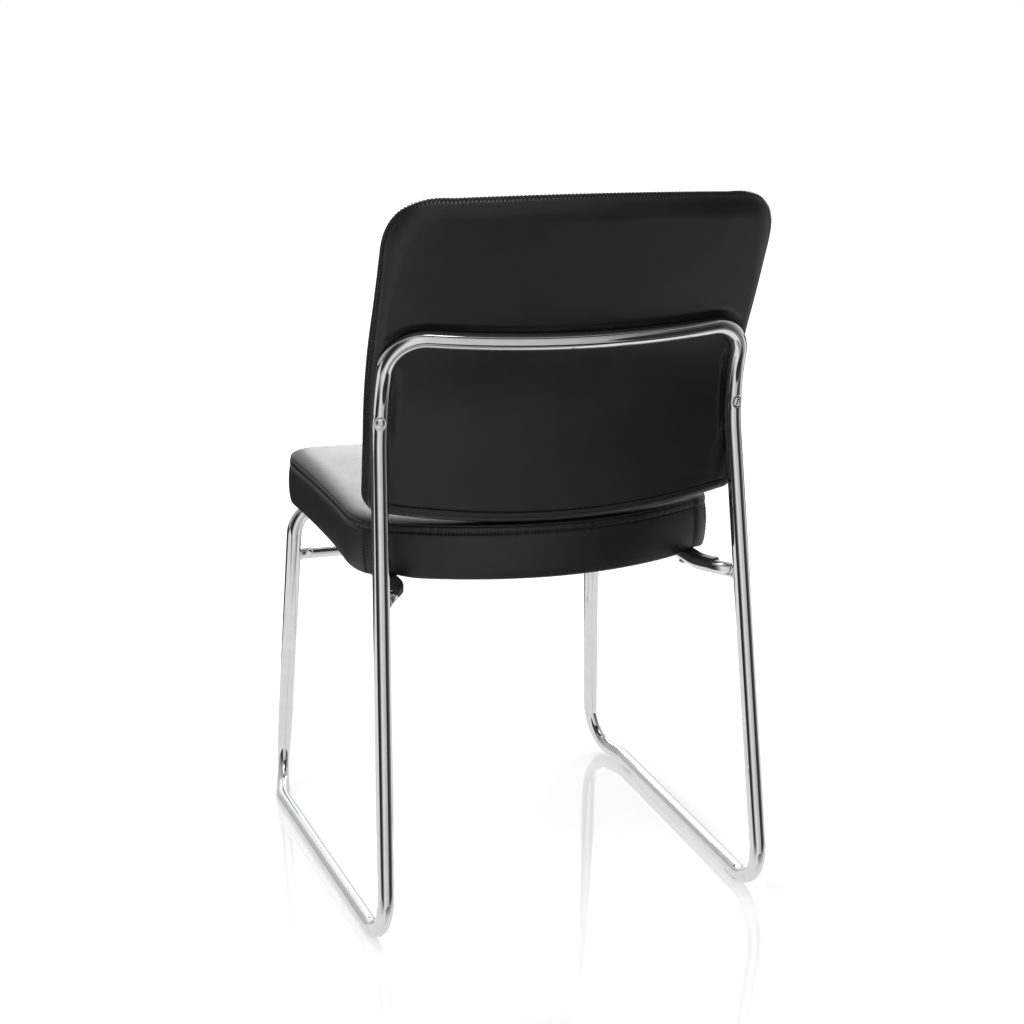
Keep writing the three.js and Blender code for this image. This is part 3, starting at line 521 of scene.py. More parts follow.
def dimpled(rings, side):
    """Presses the round seat of the screw into the tube and lets its rim swell a little."""
    centre, axis = screw_seat(side)
    local = rings - centre
    height = local @ axis
    lateral = local - height[..., None] * axis
    away = np.linalg.norm(lateral, axis=-1)
    rim = DIMPLE_DIAMETER / 2
    beyond = np.clip(away - HEAD_DIAMETER / 2 - GAP, 0, None)
    wall = TUBE_RADIUS - DIMPLE_DEPTH + beyond * DIMPLE_SLOPE
    sunk = np.where((height > 0) & (away < rim + DIMPLE_LIP), np.minimum(height, wall), height)
    swell = DIMPLE_SWELL * np.exp(-((away - rim) / SWELL_WIDTH) ** 2) * (height > 0)
    out = lateral / np.maximum(away, 1e-6)[..., None]
    return centre + lateral + out * swell[..., None] + sunk[..., None] * axis


def frame_half(side):
    """The frame's line with short steps at the screw's dimple."""
    line = frame_line(side, FINE_STEP)
    runs = runs_of(line[0])
    nearest = runs[int(np.argmin(np.linalg.norm(line[0] - screw_seat(side)[0], axis=1)))]
    fine = np.arange(nearest - DIMPLE_REACH, nearest + DIMPLE_REACH, DIMPLE_STEP)
    at = np.unique(np.concatenate([runs, fine]))
    return resampled(line, at[np.concatenate([[True], np.diff(at) > LEAST_STEP])])


def make_chrome_frame():
    for side, word in SIDES:
        line = frame_half(side)
        foot = leg_point(side, FOOT_KICK_HEIGHT) + vec(0, FOOT_SQUASH_SHIFT, FOOT_SQUASH_SHIFT)
        near = np.exp(-(np.linalg.norm(line[0] - foot, axis=1) / FOOT_SQUASH_REACH) ** 2)
        squashed = [mix(TUBE_RADIUS, size, near) for size in (FOOT_SQUASH_WIDTH, FOOT_SQUASH_DEPTH)]
        rings = dimpled(sweep(line, np.column_stack(squashed), TUBE_SIDES), side)
        faces = ring_faces(*rings.shape[:2])
        tube = make_object(f"{word}_chrome_tube", rings, faces, CHROME)
        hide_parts(f"{word}_frame_tube")


PLUG_RADIUS, PLUG_Y, PLUG_SIDES = 1.7, 200.0, 24
PLUG_LEANS = {"left": 0.0, "right": 0.55}
# The plug's section as (share of its radius, height above the tube)
PLUG_SECTION = ((1.0, -0.6), (1.0, 0.1), (0.8, 0.3), (0.3, 0.4))


def make_plugs():
    """The small dark plug in the top of each runner, just in front of its rear bend."""
    for side, word in SIDES:
        points, tangents = frame_line(side, FINE_STEP)
        low = np.where(points[:, 2] < RUNNER_HEIGHT + 0.5)[0]
        i = low[int(np.argmin(np.abs(points[low, 1] - PLUG_Y)))]
        across = unit(np.cross(tangents[i], UP))
        across = across * np.sign(across[0])
        out = unit(np.cross(across, tangents[i]))
        out = out * np.sign(out[2])
        out = unit(out * math.cos(PLUG_LEANS[word]) + across * math.sin(PLUG_LEANS[word]))
        disc = circle(tangents[i], np.cross(out, tangents[i]), PLUG_SIDES) * PLUG_RADIUS
        rings = [points[i] + out * (TUBE_RADIUS + up) + disc * share for share, up in PLUG_SECTION]
        closed_object(f"{word}_runner_plug", rings, PLASTIC)


BEAD_SIDES, BEAD_TURNS, BEAD_RIPPLES, BEAD_UNEVENNESS = 12, 72, 18, 0.15
RAIL_BEAD, RAIL_BEAD_OFFSET, BRACE_BEAD, BRACE_BEAD_GAP = 1.1, 2.6, 1.0, 0.4


def weld_bead(name, centre, axis, radius, bead):
    """A small ring of weld around a tube's end, with a faint ripple."""
    u = unit(np.cross(axis, UP + 0.01))
    rings = []
    for k, out in enumerate(circle(u, np.cross(axis, u), BEAD_TURNS)):
        wave = math.sin(BEAD_RIPPLES * 2 * math.pi * k / BEAD_TURNS)
        size = bead * (1 + BEAD_UNEVENNESS * wave)
        rings.append(centre + out * radius + circle(out, axis, BEAD_SIDES) * size)
    total = BEAD_TURNS * BEAD_SIDES
    faces = [tuple(i % total for i in face) for face in ring_faces(BEAD_TURNS + 1, BEAD_SIDES)]
    return make_object(name, rings, faces, CHROME)


def make_rails():
    for side, word in SIDES:
        line = rail_line(side, TUBE_RADIUS - WELD_SINK)
        rail = closed_object(f"{word}_rail", sweep(line, RAIL_RADIUS, RAIL_SIDES), CHROME)
        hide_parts(f"{word}_seat_rail")
        start, along = line[0][0], line[1][0]
        place = start + along * RAIL_BEAD_OFFSET
        weld_bead(f"{word}_rail_weld", place, along, RAIL_RADIUS, RAIL_BEAD)


def make_brace():
    sunk, clear = TUBE_RADIUS - WELD_SINK, TUBE_RADIUS + BRACE_BEAD_GAP
    ends = [leg_point(side, BRACE_HEIGHT) - vec(side * sunk, 0, 0) for side in (-1, 1)]
    line = bent_line(ends, [0, 0], straight_step=SHORT_STEP)
    brace = closed_object("brace_bar", sweep(line, BRACE_RADIUS, RAIL_SIDES), CHROME)
    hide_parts("front_brace")
    for side, word in SIDES:
        inner = leg_point(side, BRACE_HEIGHT) - vec(side * clear, 0, 0)
        bead = weld_bead(f"{word}_brace_weld", inner, vec(1, 0, 0), BRACE_RADIUS, BRACE_BEAD)


# Saddles

SADDLE_STEP, CORNER_STEPS, CHANNEL_STEPS = 2.0, 6, 16
SADDLE_END, SADDLE_END_SHRINK = 0.96, 0.12
SADDLE_EDGE, SADDLE_EDGE_ANGLE = 0.35, 40


def saddle_section():
    """The half shell's outline as (up, across) pairs."""
    channel = RAIL_RADIUS + GAP
    top, half = channel + SADDLE_WALL, SADDLE_WIDTH / 2
    outer = [(-SADDLE_SKIRT, -half)]
    for a in quarter(CORNER_STEPS):
        up = top - SADDLE_CORNER + SADDLE_CORNER * math.sin(a)
        outer.append((up, -half + SADDLE_CORNER * (1 - math.cos(a))))
    outer += [(u, -w) for u, w in reversed(outer)]
    low = math.asin(SADDLE_SKIRT / channel)
    turns = [-low + (math.pi + 2 * low) * k / CHANNEL_STEPS for k in range(CHANNEL_STEPS + 1)]
    return outer + [(channel * math.sin(a), channel * math.cos(a)) for a in turns]


def make_saddles():
    section = np.array(saddle_section())
    for side, word in SIDES:
        whole = rail_line(side, 0.0)
        length = line_length(whole) + (TUBE_RADIUS - RAIL_SINK)
        front_end = length - TUBE_RADIUS - SADDLE_END_GAP
        weld = upright_at(side, RAIL_HEIGHT)[0]
        to_bend = math.hypot(abs(weld[0]) - RAIL_SPACING / 2, RAIL_BEND_SETBACK)
        starts = {"rear": to_bend - SADDLE_BEHIND_BEND, "front": front_end - SADDLE_LENGTH}
        for place, start in starts.items():
            points, tangents = stretch(whole, start, start + SADDLE_LENGTH, SADDLE_STEP)
            rings = []
            for p, t, e in zip(points, tangents, np.linspace(-1, 1, len(points))):
                across = unit(np.cross(t, UP))
                past = max(0.0, (abs(e) - SADDLE_END) / (1 - SADDLE_END))
                wide = section[:, 1] * (1 - SADDLE_END_SHRINK * past ** 2)
                rings.append(p + np.outer(section[:, 0], UP) + np.outer(wide, across))
            faces = capped_faces(len(rings), len(section))
            saddle = make_object(f"{word}_{place}_spacer", rings, faces, PLASTIC)
            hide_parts(f"{word}_{place}_saddle")
            bevel = saddle.modifiers.new("edges", "BEVEL")
            bevel.width = SADDLE_EDGE * MM
            bevel.segments = 2
            bevel.limit_method = "ANGLE"
            bevel.angle_limit = math.radians(SADDLE_EDGE_ANGLE)
            bevel.harden_normals = True


# Screws

SCREW_SIDES, HEAD_STEPS, HEAD_ROUNDNESS = 48, 9, 0.8
HEAD_CHAMFER, HEAD_EDGE, SHANK_NECK = 0.2, 0.55, 0.4
SOCKET_RIM, SOCKET_LAND, SOCKET_CONE = 0.18, 0.5, 0.35
BACK_SCREW_LENGTH, SEAT_SCREW_LENGTH = 22.0, 30.0


def make_screw(name, origin, axis, length, material):
    """A button head screw with a hex socket. The head's underside is at the origin."""
    u = unit(np.cross(axis, UP + vec(0.3, 0.2, 0)))
    ring = circle(u, np.cross(axis, u), SCREW_SIDES)
    head, shank = HEAD_DIAMETER / 2, SCREW_DIAMETER / 2
    corner = SOCKET_SIZE / math.sqrt(3)
    profile = [(shank, -length), (shank, -SHANK_NECK), (shank, 0)]
    profile += [(head - HEAD_CHAMFER, 0), (head, HEAD_CHAMFER), (head, HEAD_EDGE)]
    for a in quarter(HEAD_STEPS)[1:-1]:
        rise = HEAD_EDGE + (HEAD_HEIGHT - HEAD_EDGE) * math.sin(a)
        profile.append((head * math.cos(a) ** HEAD_ROUNDNESS, rise))
    profile = [p for p in profile if p[0] > corner + SOCKET_LAND or p[1] < HEAD_EDGE]
    floor = HEAD_HEIGHT - SOCKET_DEPTH
    socket = [(corner + SOCKET_RIM, HEAD_HEIGHT - 0.02), (corner, HEAD_HEIGHT - 0.25)]
    socket += [(corner, floor), (corner * 0.5, floor - SOCKET_CONE)]
    sixth = 2 * math.pi * np.arange(SCREW_SIDES) / SCREW_SIDES % (math.pi / 3)
    hexed = math.cos(math.pi / 6) / np.cos(sixth - math.pi / 6)
    rings = [origin + axis * height + ring * radius for radius, height in profile]
    rings += [origin + axis * height + ring * radius * hexed[:, None] for radius, height in socket]
    return closed_object(name, rings, material)


def make_screws():
    for side, word in SIDES:
        point, axis = screw_seat(side)
        origin = point + axis * (TUBE_RADIUS - DIMPLE_DEPTH + GAP)
        screw = make_screw(f"{word}_back_button_screw", origin, axis, BACK_SCREW_LENGTH, CHROME)
        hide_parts(f"{word}_back_screw")
        rear_y = upright_at(side, RAIL_HEIGHT)[0][1] - RAIL_BEND_SETBACK - REAR_SCREW_SETBACK
        front_y = leg_point(side, FRONT_TUBE_HEIGHT)[1] + TUBE_RADIUS
        front_y += SADDLE_END_GAP + SADDLE_LENGTH / 2
        for place, y in (("rear", rear_y), ("front", front_y)):
            origin = vec(side * RAIL_SPACING / 2, y, RAIL_HEIGHT - RAIL_RADIUS - GAP)
            screw = make_screw(f"{word}_{place}_rail_screw", origin, -UP, SEAT_SCREW_LENGTH, ZINC)
            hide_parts(f"{word}_{place}_seat_screw")


# Outlines and stitches


def mirrored(places, counts):
    """A closed outline: curves between every other place, each drawn toward the place between,
    and their mirror image."""
    half = [places[0]]
    for i, count in enumerate(counts):
        a, b, c = places[2 * i:2 * i + 3]
        t = np.linspace(0, 1, count + 1)[1:, None]
        half.extend((1 - t) ** 2 * a + 2 * t * (1 - t) * b + t ** 2 * c)
    return np.concatenate([half, np.array(half[1:-1])[::-1] * (-1, 1)])


def even(outline, count):
    """The closed outline with its points spread evenly, starting at the same point."""
    loop = np.concatenate([outline, outline[:1]])
    runs = runs_of(loop)
    return sampled(np.linspace(0, runs[-1], count, endpoint=False), runs, loop)


def outward_normals(outline, passes=40):
    along = np.roll(outline, -1, axis=0) - np.roll(outline, 1, axis=0)
    normal = unit_rows(np.stack([along[:, 1], -along[:, 0]], 1))
    for _ in range(passes):
        normal = (np.roll(normal, 1, axis=0) + 2 * normal + np.roll(normal, -1, axis=0)) / 4
    return unit_rows(normal)


def ripple(seed, along, waves, size):
    """A smooth, repeatable unevenness along a seam."""
    rng = random.Random(seed)
    total = np.zeros_like(along)
    for _ in range(5):
        share = math.sin(rng.random() * 6)
        total += share * np.sin(along * 2 * math.pi * rng.randint(*waves) + rng.random() * 6.28)
    return total * size / 3


def dome(flat, middle, rim, share, power):
    """A pillow's height as a share, one at the middle and zero at the rim, without ridges."""
    half = np.abs(rim - middle).max(0)
    off = np.abs(flat - middle) / half
    return (1 - off[:, 0] ** power) * (1 - off[:, 1] ** power) * (1 - share ** 10)


STITCH_LENGTH, STITCH_PITCH, STITCH_WIDTH = 3.2, 4.2, 1.05
STITCH_RINGS, STITCH_SIDES = 6, 8
STITCH_DIP, STITCH_HEIGHT_SHARE, STITCH_TIP_SHARE = 0.35, 0.8, 0.12


def stitch_row(name, path, normals, closed=False):
    """Separate stitches laid along a path, each a small pressed capsule."""
    if closed:
        path, normals = (np.concatenate([rows, rows[:1]]) for rows in (path, normals))
    runs = runs_of(path)
    count = int(runs[-1] // STITCH_PITCH)
    middles = (np.arange(count) + 0.5) * runs[-1] / count
    share = np.linspace(0, 1, STITCH_RINGS)
    at = middles[:, None] + (share - 0.5) * STITCH_LENGTH
    places, up = sampled(at, runs, path), unit_rows(sampled(at, runs, normals))
    aside = np.cross(unit_rows(sampled(at + 0.5, runs, path) - places), up)
    thick = STITCH_WIDTH * 0.5 * np.maximum(STITCH_TIP_SHARE, np.sin(math.pi * share) ** 0.5)
    section = circle((1, 0), (0, STITCH_HEIGHT_SHARE), STITCH_SIDES) * thick[:, None, None]
    rise = section[..., 1:] - STITCH_DIP * (2 * share[:, None, None] - 1) ** 2
    points = places[:, :, None] + up[:, :, None] * rise + aside[:, :, None] * section[..., :1]
    stitch = capped_faces(STITCH_RINGS, STITCH_SIDES)
    bases = range(0, count * STITCH_RINGS * STITCH_SIDES, STITCH_RINGS * STITCH_SIDES)
    faces = [tuple(base + i for i in face) for base in bases for face in stitch]
    make_object(name, points, faces, THREAD)


# Seat

SEAT_POINTS = 1080
SEAT_SAG = 3.6
SEAT_ROLL, SEAT_ROLL_RISE, SEAT_REAR_ROLL_RISE = 30.0, 9.5, 6.4
SEAT_ROLL_STEPS, SEAT_ROLL_INSET, SEAT_ROLL_LIFT = 14, 0.7, 1.1
SEAT_BAND, SEAT_BAND_GAP, SEAT_GROOVE = 8.0, 1.4, 2.0
SEAT_PUFF, SEAT_TUCK, SEAT_HEM_ROUND, PUFF_POWER = 2.2, 0.9, 4.2, 0.6
SEAT_TOP_SHARES = np.concatenate([np.linspace(0.992, 0.9, 10), np.linspace(0.88, 0.02, 34)])
# Turned under hem as (inset, height), and the two seams as (drop, inset)
UNDER_ROWS = ((34.0, 0.2), (20.0, 0.0), (10.0, 0.0))
LOWER_SEAM = (
    (1.0, 0.35), (0.5, 0.9), (0.0, SEAT_GROOVE), (-0.5, 0.9), (-1.0, 0.35),
    (-1.8, 0.0), (-3.6, -0.15),
)
UPPER_SEAM = ((2.2, 0.0), (1.2, 0.4), (0.5, 1.0), (0.0, SEAT_GROOVE), (-0.5, 1.1), (-1.1, 0.7))
CORNER_SEAM_X, CORNER_SEAM_Y = 207.0, 118.0
CORNER_SEAM_DEPTH, CORNER_SEAM_WIDTH, CORNER_STITCH_OFFSET = 1.7, 1.5, 4.0
TOPSTITCHES = (("upper", -2.0), ("lower", 1.6))


def seat_outline():
    half, rear_half = SEAT_WIDTH / 2, SEAT_REAR_WIDTH / 2
    rear_y, bow_y = SEAT_FRONT_Y + SEAT_DEPTH, SEAT_FRONT_Y + SEAT_DEPTH + SEAT_REAR_BOW
    control = rear_y - (half - rear_half) * SEAT_REAR_BOW / rear_half
    front_y, inner = SEAT_FRONT_Y + SEAT_FRONT_PULL, half - SEAT_FRONT_CORNER
    side_front, side_rear = SEAT_FRONT_Y + SEAT_FRONT_CORNER, control - SEAT_REAR_CORNER
    places = [
        (0, front_y), (inner / 2, front_y), (inner, SEAT_FRONT_Y), (half, SEAT_FRONT_Y),
        (half, side_front), (half - 2 * SEAT_SIDE_PULL, (side_front + side_rear) / 2),
        (half, side_rear), (half, control), (rear_half, rear_y), (rear_half / 2, bow_y), (0, bow_y),
    ]
    return mirrored(places, (30, 16, 50, 16, 30))


def seat_profile():
    """The seat's section from the underside up and over its edge, as (inset, height)."""
    rows = [(inset, SEAT_HEM + height) for inset, height in UNDER_ROWS]
    for a in quarter(9)[1:-1]:
        inset = SEAT_TUCK + SEAT_HEM_ROUND * (1 - math.sin(a))
        rows.append((inset, SEAT_HEM + SEAT_HEM_ROUND * (1 - math.cos(a))))
    band = SEAT_SEAM - SEAT_BAND
    for share in np.linspace(0, 1, 16):
        puff = SEAT_PUFF * math.sin(math.pi * share) ** PUFF_POWER
        rows.append((SEAT_TUCK - puff, mix(SEAT_HEM + SEAT_HEM_ROUND, band - SEAT_BAND_GAP, share)))
    for height, seam in ((band, LOWER_SEAM), (SEAT_SEAM, UPPER_SEAM)):
        rows += [(SEAT_TUCK + inset, height - drop) for drop, inset in seam]
    return rows


def seat_sag(outline):
    """Where the boxing's lower edge hangs a little, as a share: not over the tubes and rails."""
    x, y = np.abs(outline[:, 0]), outline[:, 1]
    over_rail = np.exp(-((x - RAIL_SPACING / 2 - 4) / 17) ** 2) * smooth((y - 60) / 40)
    return smooth((y + 20) / 130) * (1 - over_rail)


def corner_seam_at(side, outline):
    """The index of the outline's point where the boxing's upright seam is."""
    want = vec(side * CORNER_SEAM_X, CORNER_SEAM_Y)
    return int(np.argmin(np.linalg.norm(outline - want, axis=1)))


def seat_wall(outline, normals):
    """Loops of the seat from its underside to the upper seam."""
    along = np.arange(SEAT_POINTS) / SEAT_POINTS
    wave = ripple(3, along, (5, 14), 0.35)
    pucker = ripple(14, along, (110, 190), 0.22)
    lift = 0.3 * ripple(8, along, (4, 9), 1.0)
    seams = np.zeros(SEAT_POINTS)
    for side, _ in SIDES:
        away = np.linalg.norm(outline - outline[corner_seam_at(side, outline)], axis=1)
        seams += CORNER_SEAM_DEPTH * np.exp(-(away / CORNER_SEAM_WIDTH) ** 2)
    sag = SEAT_SAG * seat_sag(outline)
    loops = []
    for inset, height in seat_profile():
        side_share = smooth((height - SEAT_HEM - 4) / 10) * smooth((SEAT_SEAM - 4 - height) / 10)
        off_seam = (height - SEAT_SEAM + SEAT_BAND / 2) / 9.0
        near_seam = math.exp(-off_seam ** 2) if inset < 8 else 0.0
        above, below = height - SEAT_HEM - 1, SEAT_SEAM - SEAT_BAND - height
        fold = seams * smooth(above / 4) * smooth(below / 3)
        flat = outline + normals * (wave * side_share + pucker * near_seam - inset - fold)[:, None]
        low_share = smooth((SEAT_HEM + 30 - height) / 30) * smooth((14 - inset) / 8)
        z = height + lift * smooth((height - SEAT_SEAM + 10) / 8) - sag * low_share
        loops.append(np.column_stack([flat, z]))
    return loops


def seat_top(outline, normals, middle, seam_edge):
    """Loops from the upper seam over the rolled edge and up the crown to the middle."""
    front_y, depth = outline[:, 1].min(), np.ptp(outline[:, 1])
    toward_rear = (outline[:, 1] - front_y) / depth
    roll_rise = mix(SEAT_ROLL_RISE, SEAT_REAR_ROLL_RISE, toward_rear) - SEAT_ROLL_LIFT
    loops = []
    for k in range(1, SEAT_ROLL_STEPS + 1):
        a = math.pi / 2 * (k / SEAT_ROLL_STEPS) ** 1.25
        flat = outline - normals * (SEAT_TUCK + SEAT_ROLL_INSET + SEAT_ROLL * (1 - math.cos(a)))
        loops.append(np.column_stack([flat, seam_edge + roll_rise * math.sin(a)]))
    rim = loops[-1]
    shoulder = rim[:, 2].mean()
    for share in SEAT_TOP_SHARES:
        flat = middle + (rim[:, :2] - middle) * share
        crown = SEAT_CROWN * mix(1, SEAT_REAR_CROWN_SHARE, (flat[:, 1] - front_y) / depth)
        full = np.maximum(SEAT_SEAM + crown - shoulder, 0.8)
        rise = full * dome(flat, middle, rim[:, :2], share, 2.4)
        loops.append(np.column_stack([flat, mix(rim[:, 2], shoulder, 1 - share) + rise]))
    return loops


def make_seat():
    outline = even(seat_outline(), SEAT_POINTS)
    normals = outward_normals(outline)
    middle = np.array([0, (outline[:, 1].max() + outline[:, 1].min()) / 2])
    wall = seat_wall(outline, normals)
    edge = wall[0]
    toward = edge[:, :2] - middle
    under = [np.column_stack([middle + toward * share, edge[:, 2]]) for share in (0.05, 0.5)]
    loops = under + wall + seat_top(outline, normals, middle, wall[-1][:, 2])
    seat = closed_object("seat_cushion", loops, LEATHER)
    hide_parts("seat_cover", "seat_foam")

    facing = np.column_stack([normals, np.zeros(SEAT_POINTS)])
    inner = outline - normals * (SEAT_TUCK + 0.1)
    for row, drop in TOPSTITCHES:
        path = np.column_stack([inner, np.full(SEAT_POINTS, SEAT_SEAM - SEAT_BAND - drop)])
        stitch_row(f"seat_{row}_topstitch", path, facing, closed=True)
    for side, word in SIDES:
        i = corner_seam_at(side, outline)
        corner_stitches(word, outline[i], normals[i])


def corner_stitches(word, place, normal):
    """The two rows of stitches beside the upright seam at a rear corner of the boxing."""
    n = np.append(normal, 0)
    t = np.array([-n[1], n[0], 0])
    heights = np.linspace(SEAT_HEM + 5, SEAT_SEAM - SEAT_BAND - 2, 16)
    share = (heights - heights[0]) / (heights[-1] - heights[0])
    puff = SEAT_PUFF * np.sin(np.pi * share) ** PUFF_POWER - SEAT_TUCK
    wall = np.append(place, 0) + np.outer(puff, n) + np.outer(heights, UP)
    for k, off in enumerate((-CORNER_STITCH_OFFSET, CORNER_STITCH_OFFSET)):
        path = wall + t * off - n * 0.03 * abs(off)
        stitch_row(f"{word}_corner_stitch_{k}", path, np.tile(n, (len(path), 1)))


# Back

BACK_POINTS = 720
REAR_EDGE_ROUND, REAR_TOP_ROUND = 6.0, 11.0
REAR_EDGE_WIDTH, REAR_TOP_WIDTH = 10.0, 24.0
FRONT_EDGE_ROUND, FRONT_TOP_ROUND = 6.0, 4.0
SEAM_TOP_DEPTH, EDGE_TOP_DEPTH, CORNER_THINNING = 12.5, 19.5, 2.0
HEM_HEIGHT, HEM_GROOVE, HEM_PUFF, HEM_END = 12.5, 1.4, 0.9, 24
# How far around the tubes the padding is pressed, how much of a tube's width shapes it, the
# room left, the most it gives, and the height from which it does
TUBE_PRESS, PRESS_SHARE, PRESS_GAP, PRESS_LIMIT, PRESS_FROM = 11.0, 0.92, 0.25, 14, 420
PRESS_STEP = 2.0
SEAM_INSET, SEAM_STITCH_OFFSET, SEAM_STITCH_LIFT = 6.0, 3.6, 0.45
REAR_SHARES = np.concatenate([np.linspace(0.02, 0.92, 50), np.linspace(0.93, 0.997, 34)])
FRONT_SHARES = np.concatenate([np.linspace(0.99, 0.9, 10), np.linspace(0.88, 0.02, 50)])


def back_outline():
    half, low, high = BACK_WIDTH / 2, -BACK_BELOW, BACK_ABOVE - BACK_TOP_ARCH
    corner = low + BACK_BOTTOM_SWEEP
    inner, top_inner = half - BACK_BOTTOM_CORNER, half - BACK_TOP_CORNER
    side_low, side_high = corner + BACK_BOTTOM_CORNER, high - BACK_TOP_CORNER
    places = [
        (0, low), (inner / 2, low), (inner, corner), (half, corner), (half, side_low),
        (half - 2 * BACK_SIDE_PULL, (side_low + side_high) / 2), (half, side_high), (half, high),
        (top_inner, high), (top_inner / 2, BACK_ABOVE), (0, BACK_ABOVE),
    ]
    return mirrored(places, (30, 12, 44, 24, 24))


def back_loop(outline, normals, inset, depth):
    flat = outline - normals * np.asarray(inset).reshape(-1, 1)
    return on_back(*flat.T, depth)


def pressed_by_tubes(ring, line):
    """A ring of points moved forward where the frame's tubes press into the padding."""
    gap = ring[:, None] - line
    side_ways = np.hypot(gap[..., 0], gap[..., 2])
    nearest = np.arange(len(ring)), side_ways.argmin(1)
    d, h = side_ways[nearest], gap[..., 1][nearest]
    core = TUBE_RADIUS * PRESS_SHARE
    inside = np.sqrt(np.clip(TUBE_RADIUS ** 2 - np.minimum(d, core) ** 2, 0, None))
    fade = 1 - smooth((d - core) / (TUBE_RADIUS + TUBE_PRESS - core))
    push = np.clip(h - (-inside - PRESS_GAP), 0, PRESS_LIMIT) * fade
    return ring - np.outer(push, (0, 1, 0))


def lower_edge(outline, reach, x):
    """The outline's lower edge, as its run at each x."""
    lower = outline[outline[:, 1] < outline[:, 1].min() + reach]
    lower = lower[np.argsort(lower[:, 0])]
    return np.interp(x, lower[:, 0], lower[:, 1])


def hem_relief(outline, flat):
    """Depth of the rear panel's hem: a stitched groove above a slightly stuffed lower edge."""
    x, run = flat.T
    above = run - lower_edge(outline, 40, x)
    groove = HEM_GROOVE * np.exp(-((above - HEM_HEIGHT) / 1.1) ** 2)
    puff = HEM_PUFF * np.sin(np.pi * np.clip(above / HEM_HEIGHT, 0, 1))
    return (groove - puff) * smooth((BACK_WIDTH / 2 - 14 - np.abs(x)) / 10)


def make_back():
    outline = even(back_outline(), BACK_POINTS)
    normals = outward_normals(outline)
    along = np.arange(BACK_POINTS) / BACK_POINTS
    middle = np.array([0, (outline[:, 1].max() + outline[:, 1].min()) / 2])
    wave = ripple(5, along, (16, 60), 0.22) + ripple(11, along, (120, 200), 0.28)
    high = smooth((outline[:, 1] - 120) / 120)
    rise = np.clip(outline[:, 1] / BACK_ABOVE, 0, 1)
    seam = mix(BACK_SEAM_DEPTH, SEAM_TOP_DEPTH, rise)
    make_rear_panel(outline, normals, middle, wave, high, seam)
    make_front_panel(outline, normals, middle, wave, high, seam, rise)

    side_face = np.column_stack([normals[:, 0], 0 * along, normals[:, 1]])
    for k, off in enumerate((-SEAM_STITCH_OFFSET, SEAM_STITCH_OFFSET)):
        path = back_loop(outline, normals, -SEAM_STITCH_LIFT, seam + off)
        stitch_row(f"back_seam_stitch_{k}", path, side_face, closed=True)
    x = np.linspace(-BACK_WIDTH / 2 + HEM_END, BACK_WIDTH / 2 - HEM_END, 160)
    path = on_back(x, lower_edge(outline, 30, x) + HEM_HEIGHT, HEM_GROOVE - 0.9)
    stitch_row("back_hem_stitch", path, np.tile(vec(0, 1, 0), (len(x), 1)))


def make_rear_panel(outline, normals, middle, wave, high, seam):
    """The wadded rear panel, from its middle out over its edge to the seam."""
    edge_round = mix(REAR_EDGE_ROUND, REAR_TOP_ROUND, high)
    edge_width = mix(REAR_EDGE_WIDTH, REAR_TOP_WIDTH, high)
    loops = []
    inner = outline - normals * edge_width[:, None]
    for share in REAR_SHARES:
        flat = middle + (inner - middle) * share
        loops.append(on_back(*flat.T, hem_relief(outline, flat)))
    for a in quarter(12):
        flat = outline - normals * (edge_width * (1 - math.sin(a)))[:, None]
        depth = edge_round * (1 - math.cos(a)) + hem_relief(outline, flat) * math.cos(a)
        loops.append(on_back(*flat.T, depth))
    lines = [frame_line(side) for side, _ in SIDES]
    line = np.concatenate([stretch(whole, 0, line_length(whole), PRESS_STEP)[0] for whole in lines])
    line = line[(line[:, 2] > PRESS_FROM) & (line[:, 1] > 0)]
    loops = [pressed_by_tubes(ring, line) for ring in loops]
    for share in np.linspace(0, 1, 8)[1:]:
        inset = -0.35 * math.sin(math.pi * share) - wave * share
        loops.append(back_loop(outline, normals, inset, mix(edge_round, seam - 1.4, share)))
    loops.append(back_loop(outline, normals, 0.9 - wave, seam - 0.5))
    loops += [back_loop(outline, normals, inset, seam) for inset in (2.2, SEAM_INSET)]
    panel = closed_object("back_rear_panel", loops, LEATHER)
    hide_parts("back_rear_cover")


def make_front_panel(outline, normals, middle, wave, high, seam, rise):
    """The front panel with its band, from the seam over the front edge to the middle."""
    corner = np.exp(-((np.abs(outline[:, 0]) - 195) / 22) ** 2) * smooth((outline[:, 1] - 190) / 40)
    front = mix(BACK_SIDE_DEPTH, EDGE_TOP_DEPTH, rise) - CORNER_THINNING * corner
    edge_round = mix(FRONT_EDGE_ROUND, FRONT_TOP_ROUND, high)
    loops = [back_loop(outline, normals, inset, seam + 0.15) for inset in (SEAM_INSET, 1.9)]
    loops.append(back_loop(outline, normals, 0.6 - wave, seam + 0.75))
    for share in np.linspace(0, 1, 8):
        inset = -0.5 * math.sin(math.pi * share) - wave * (1 - share)
        loops.append(back_loop(outline, normals, inset, mix(seam + 1.6, front - edge_round, share)))
    for a in quarter(8)[1:]:
        depth = front - edge_round * (1 - math.sin(a))
        loops.append(back_loop(outline, normals, edge_round * (1 - math.cos(a)), depth))
    inner = outline - normals * edge_round[:, None]
    for share in FRONT_SHARES:
        flat = middle + (inner - middle) * share
        taper = np.clip(flat[:, 1] / BACK_ABOVE, 0, 1) * (BACK_SIDE_DEPTH - BACK_TOP_DEPTH)
        crown = BACK_CROWN * dome(flat, middle, inner, share, 2.6)
        depth = mix(BACK_SIDE_DEPTH - taper, front, share ** 6) + crown
        loops.append(on_back(*flat.T, depth))
    panel = closed_object("back_front_panel", loops, LEATHER)
    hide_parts("back_front_cover", "back_foam")


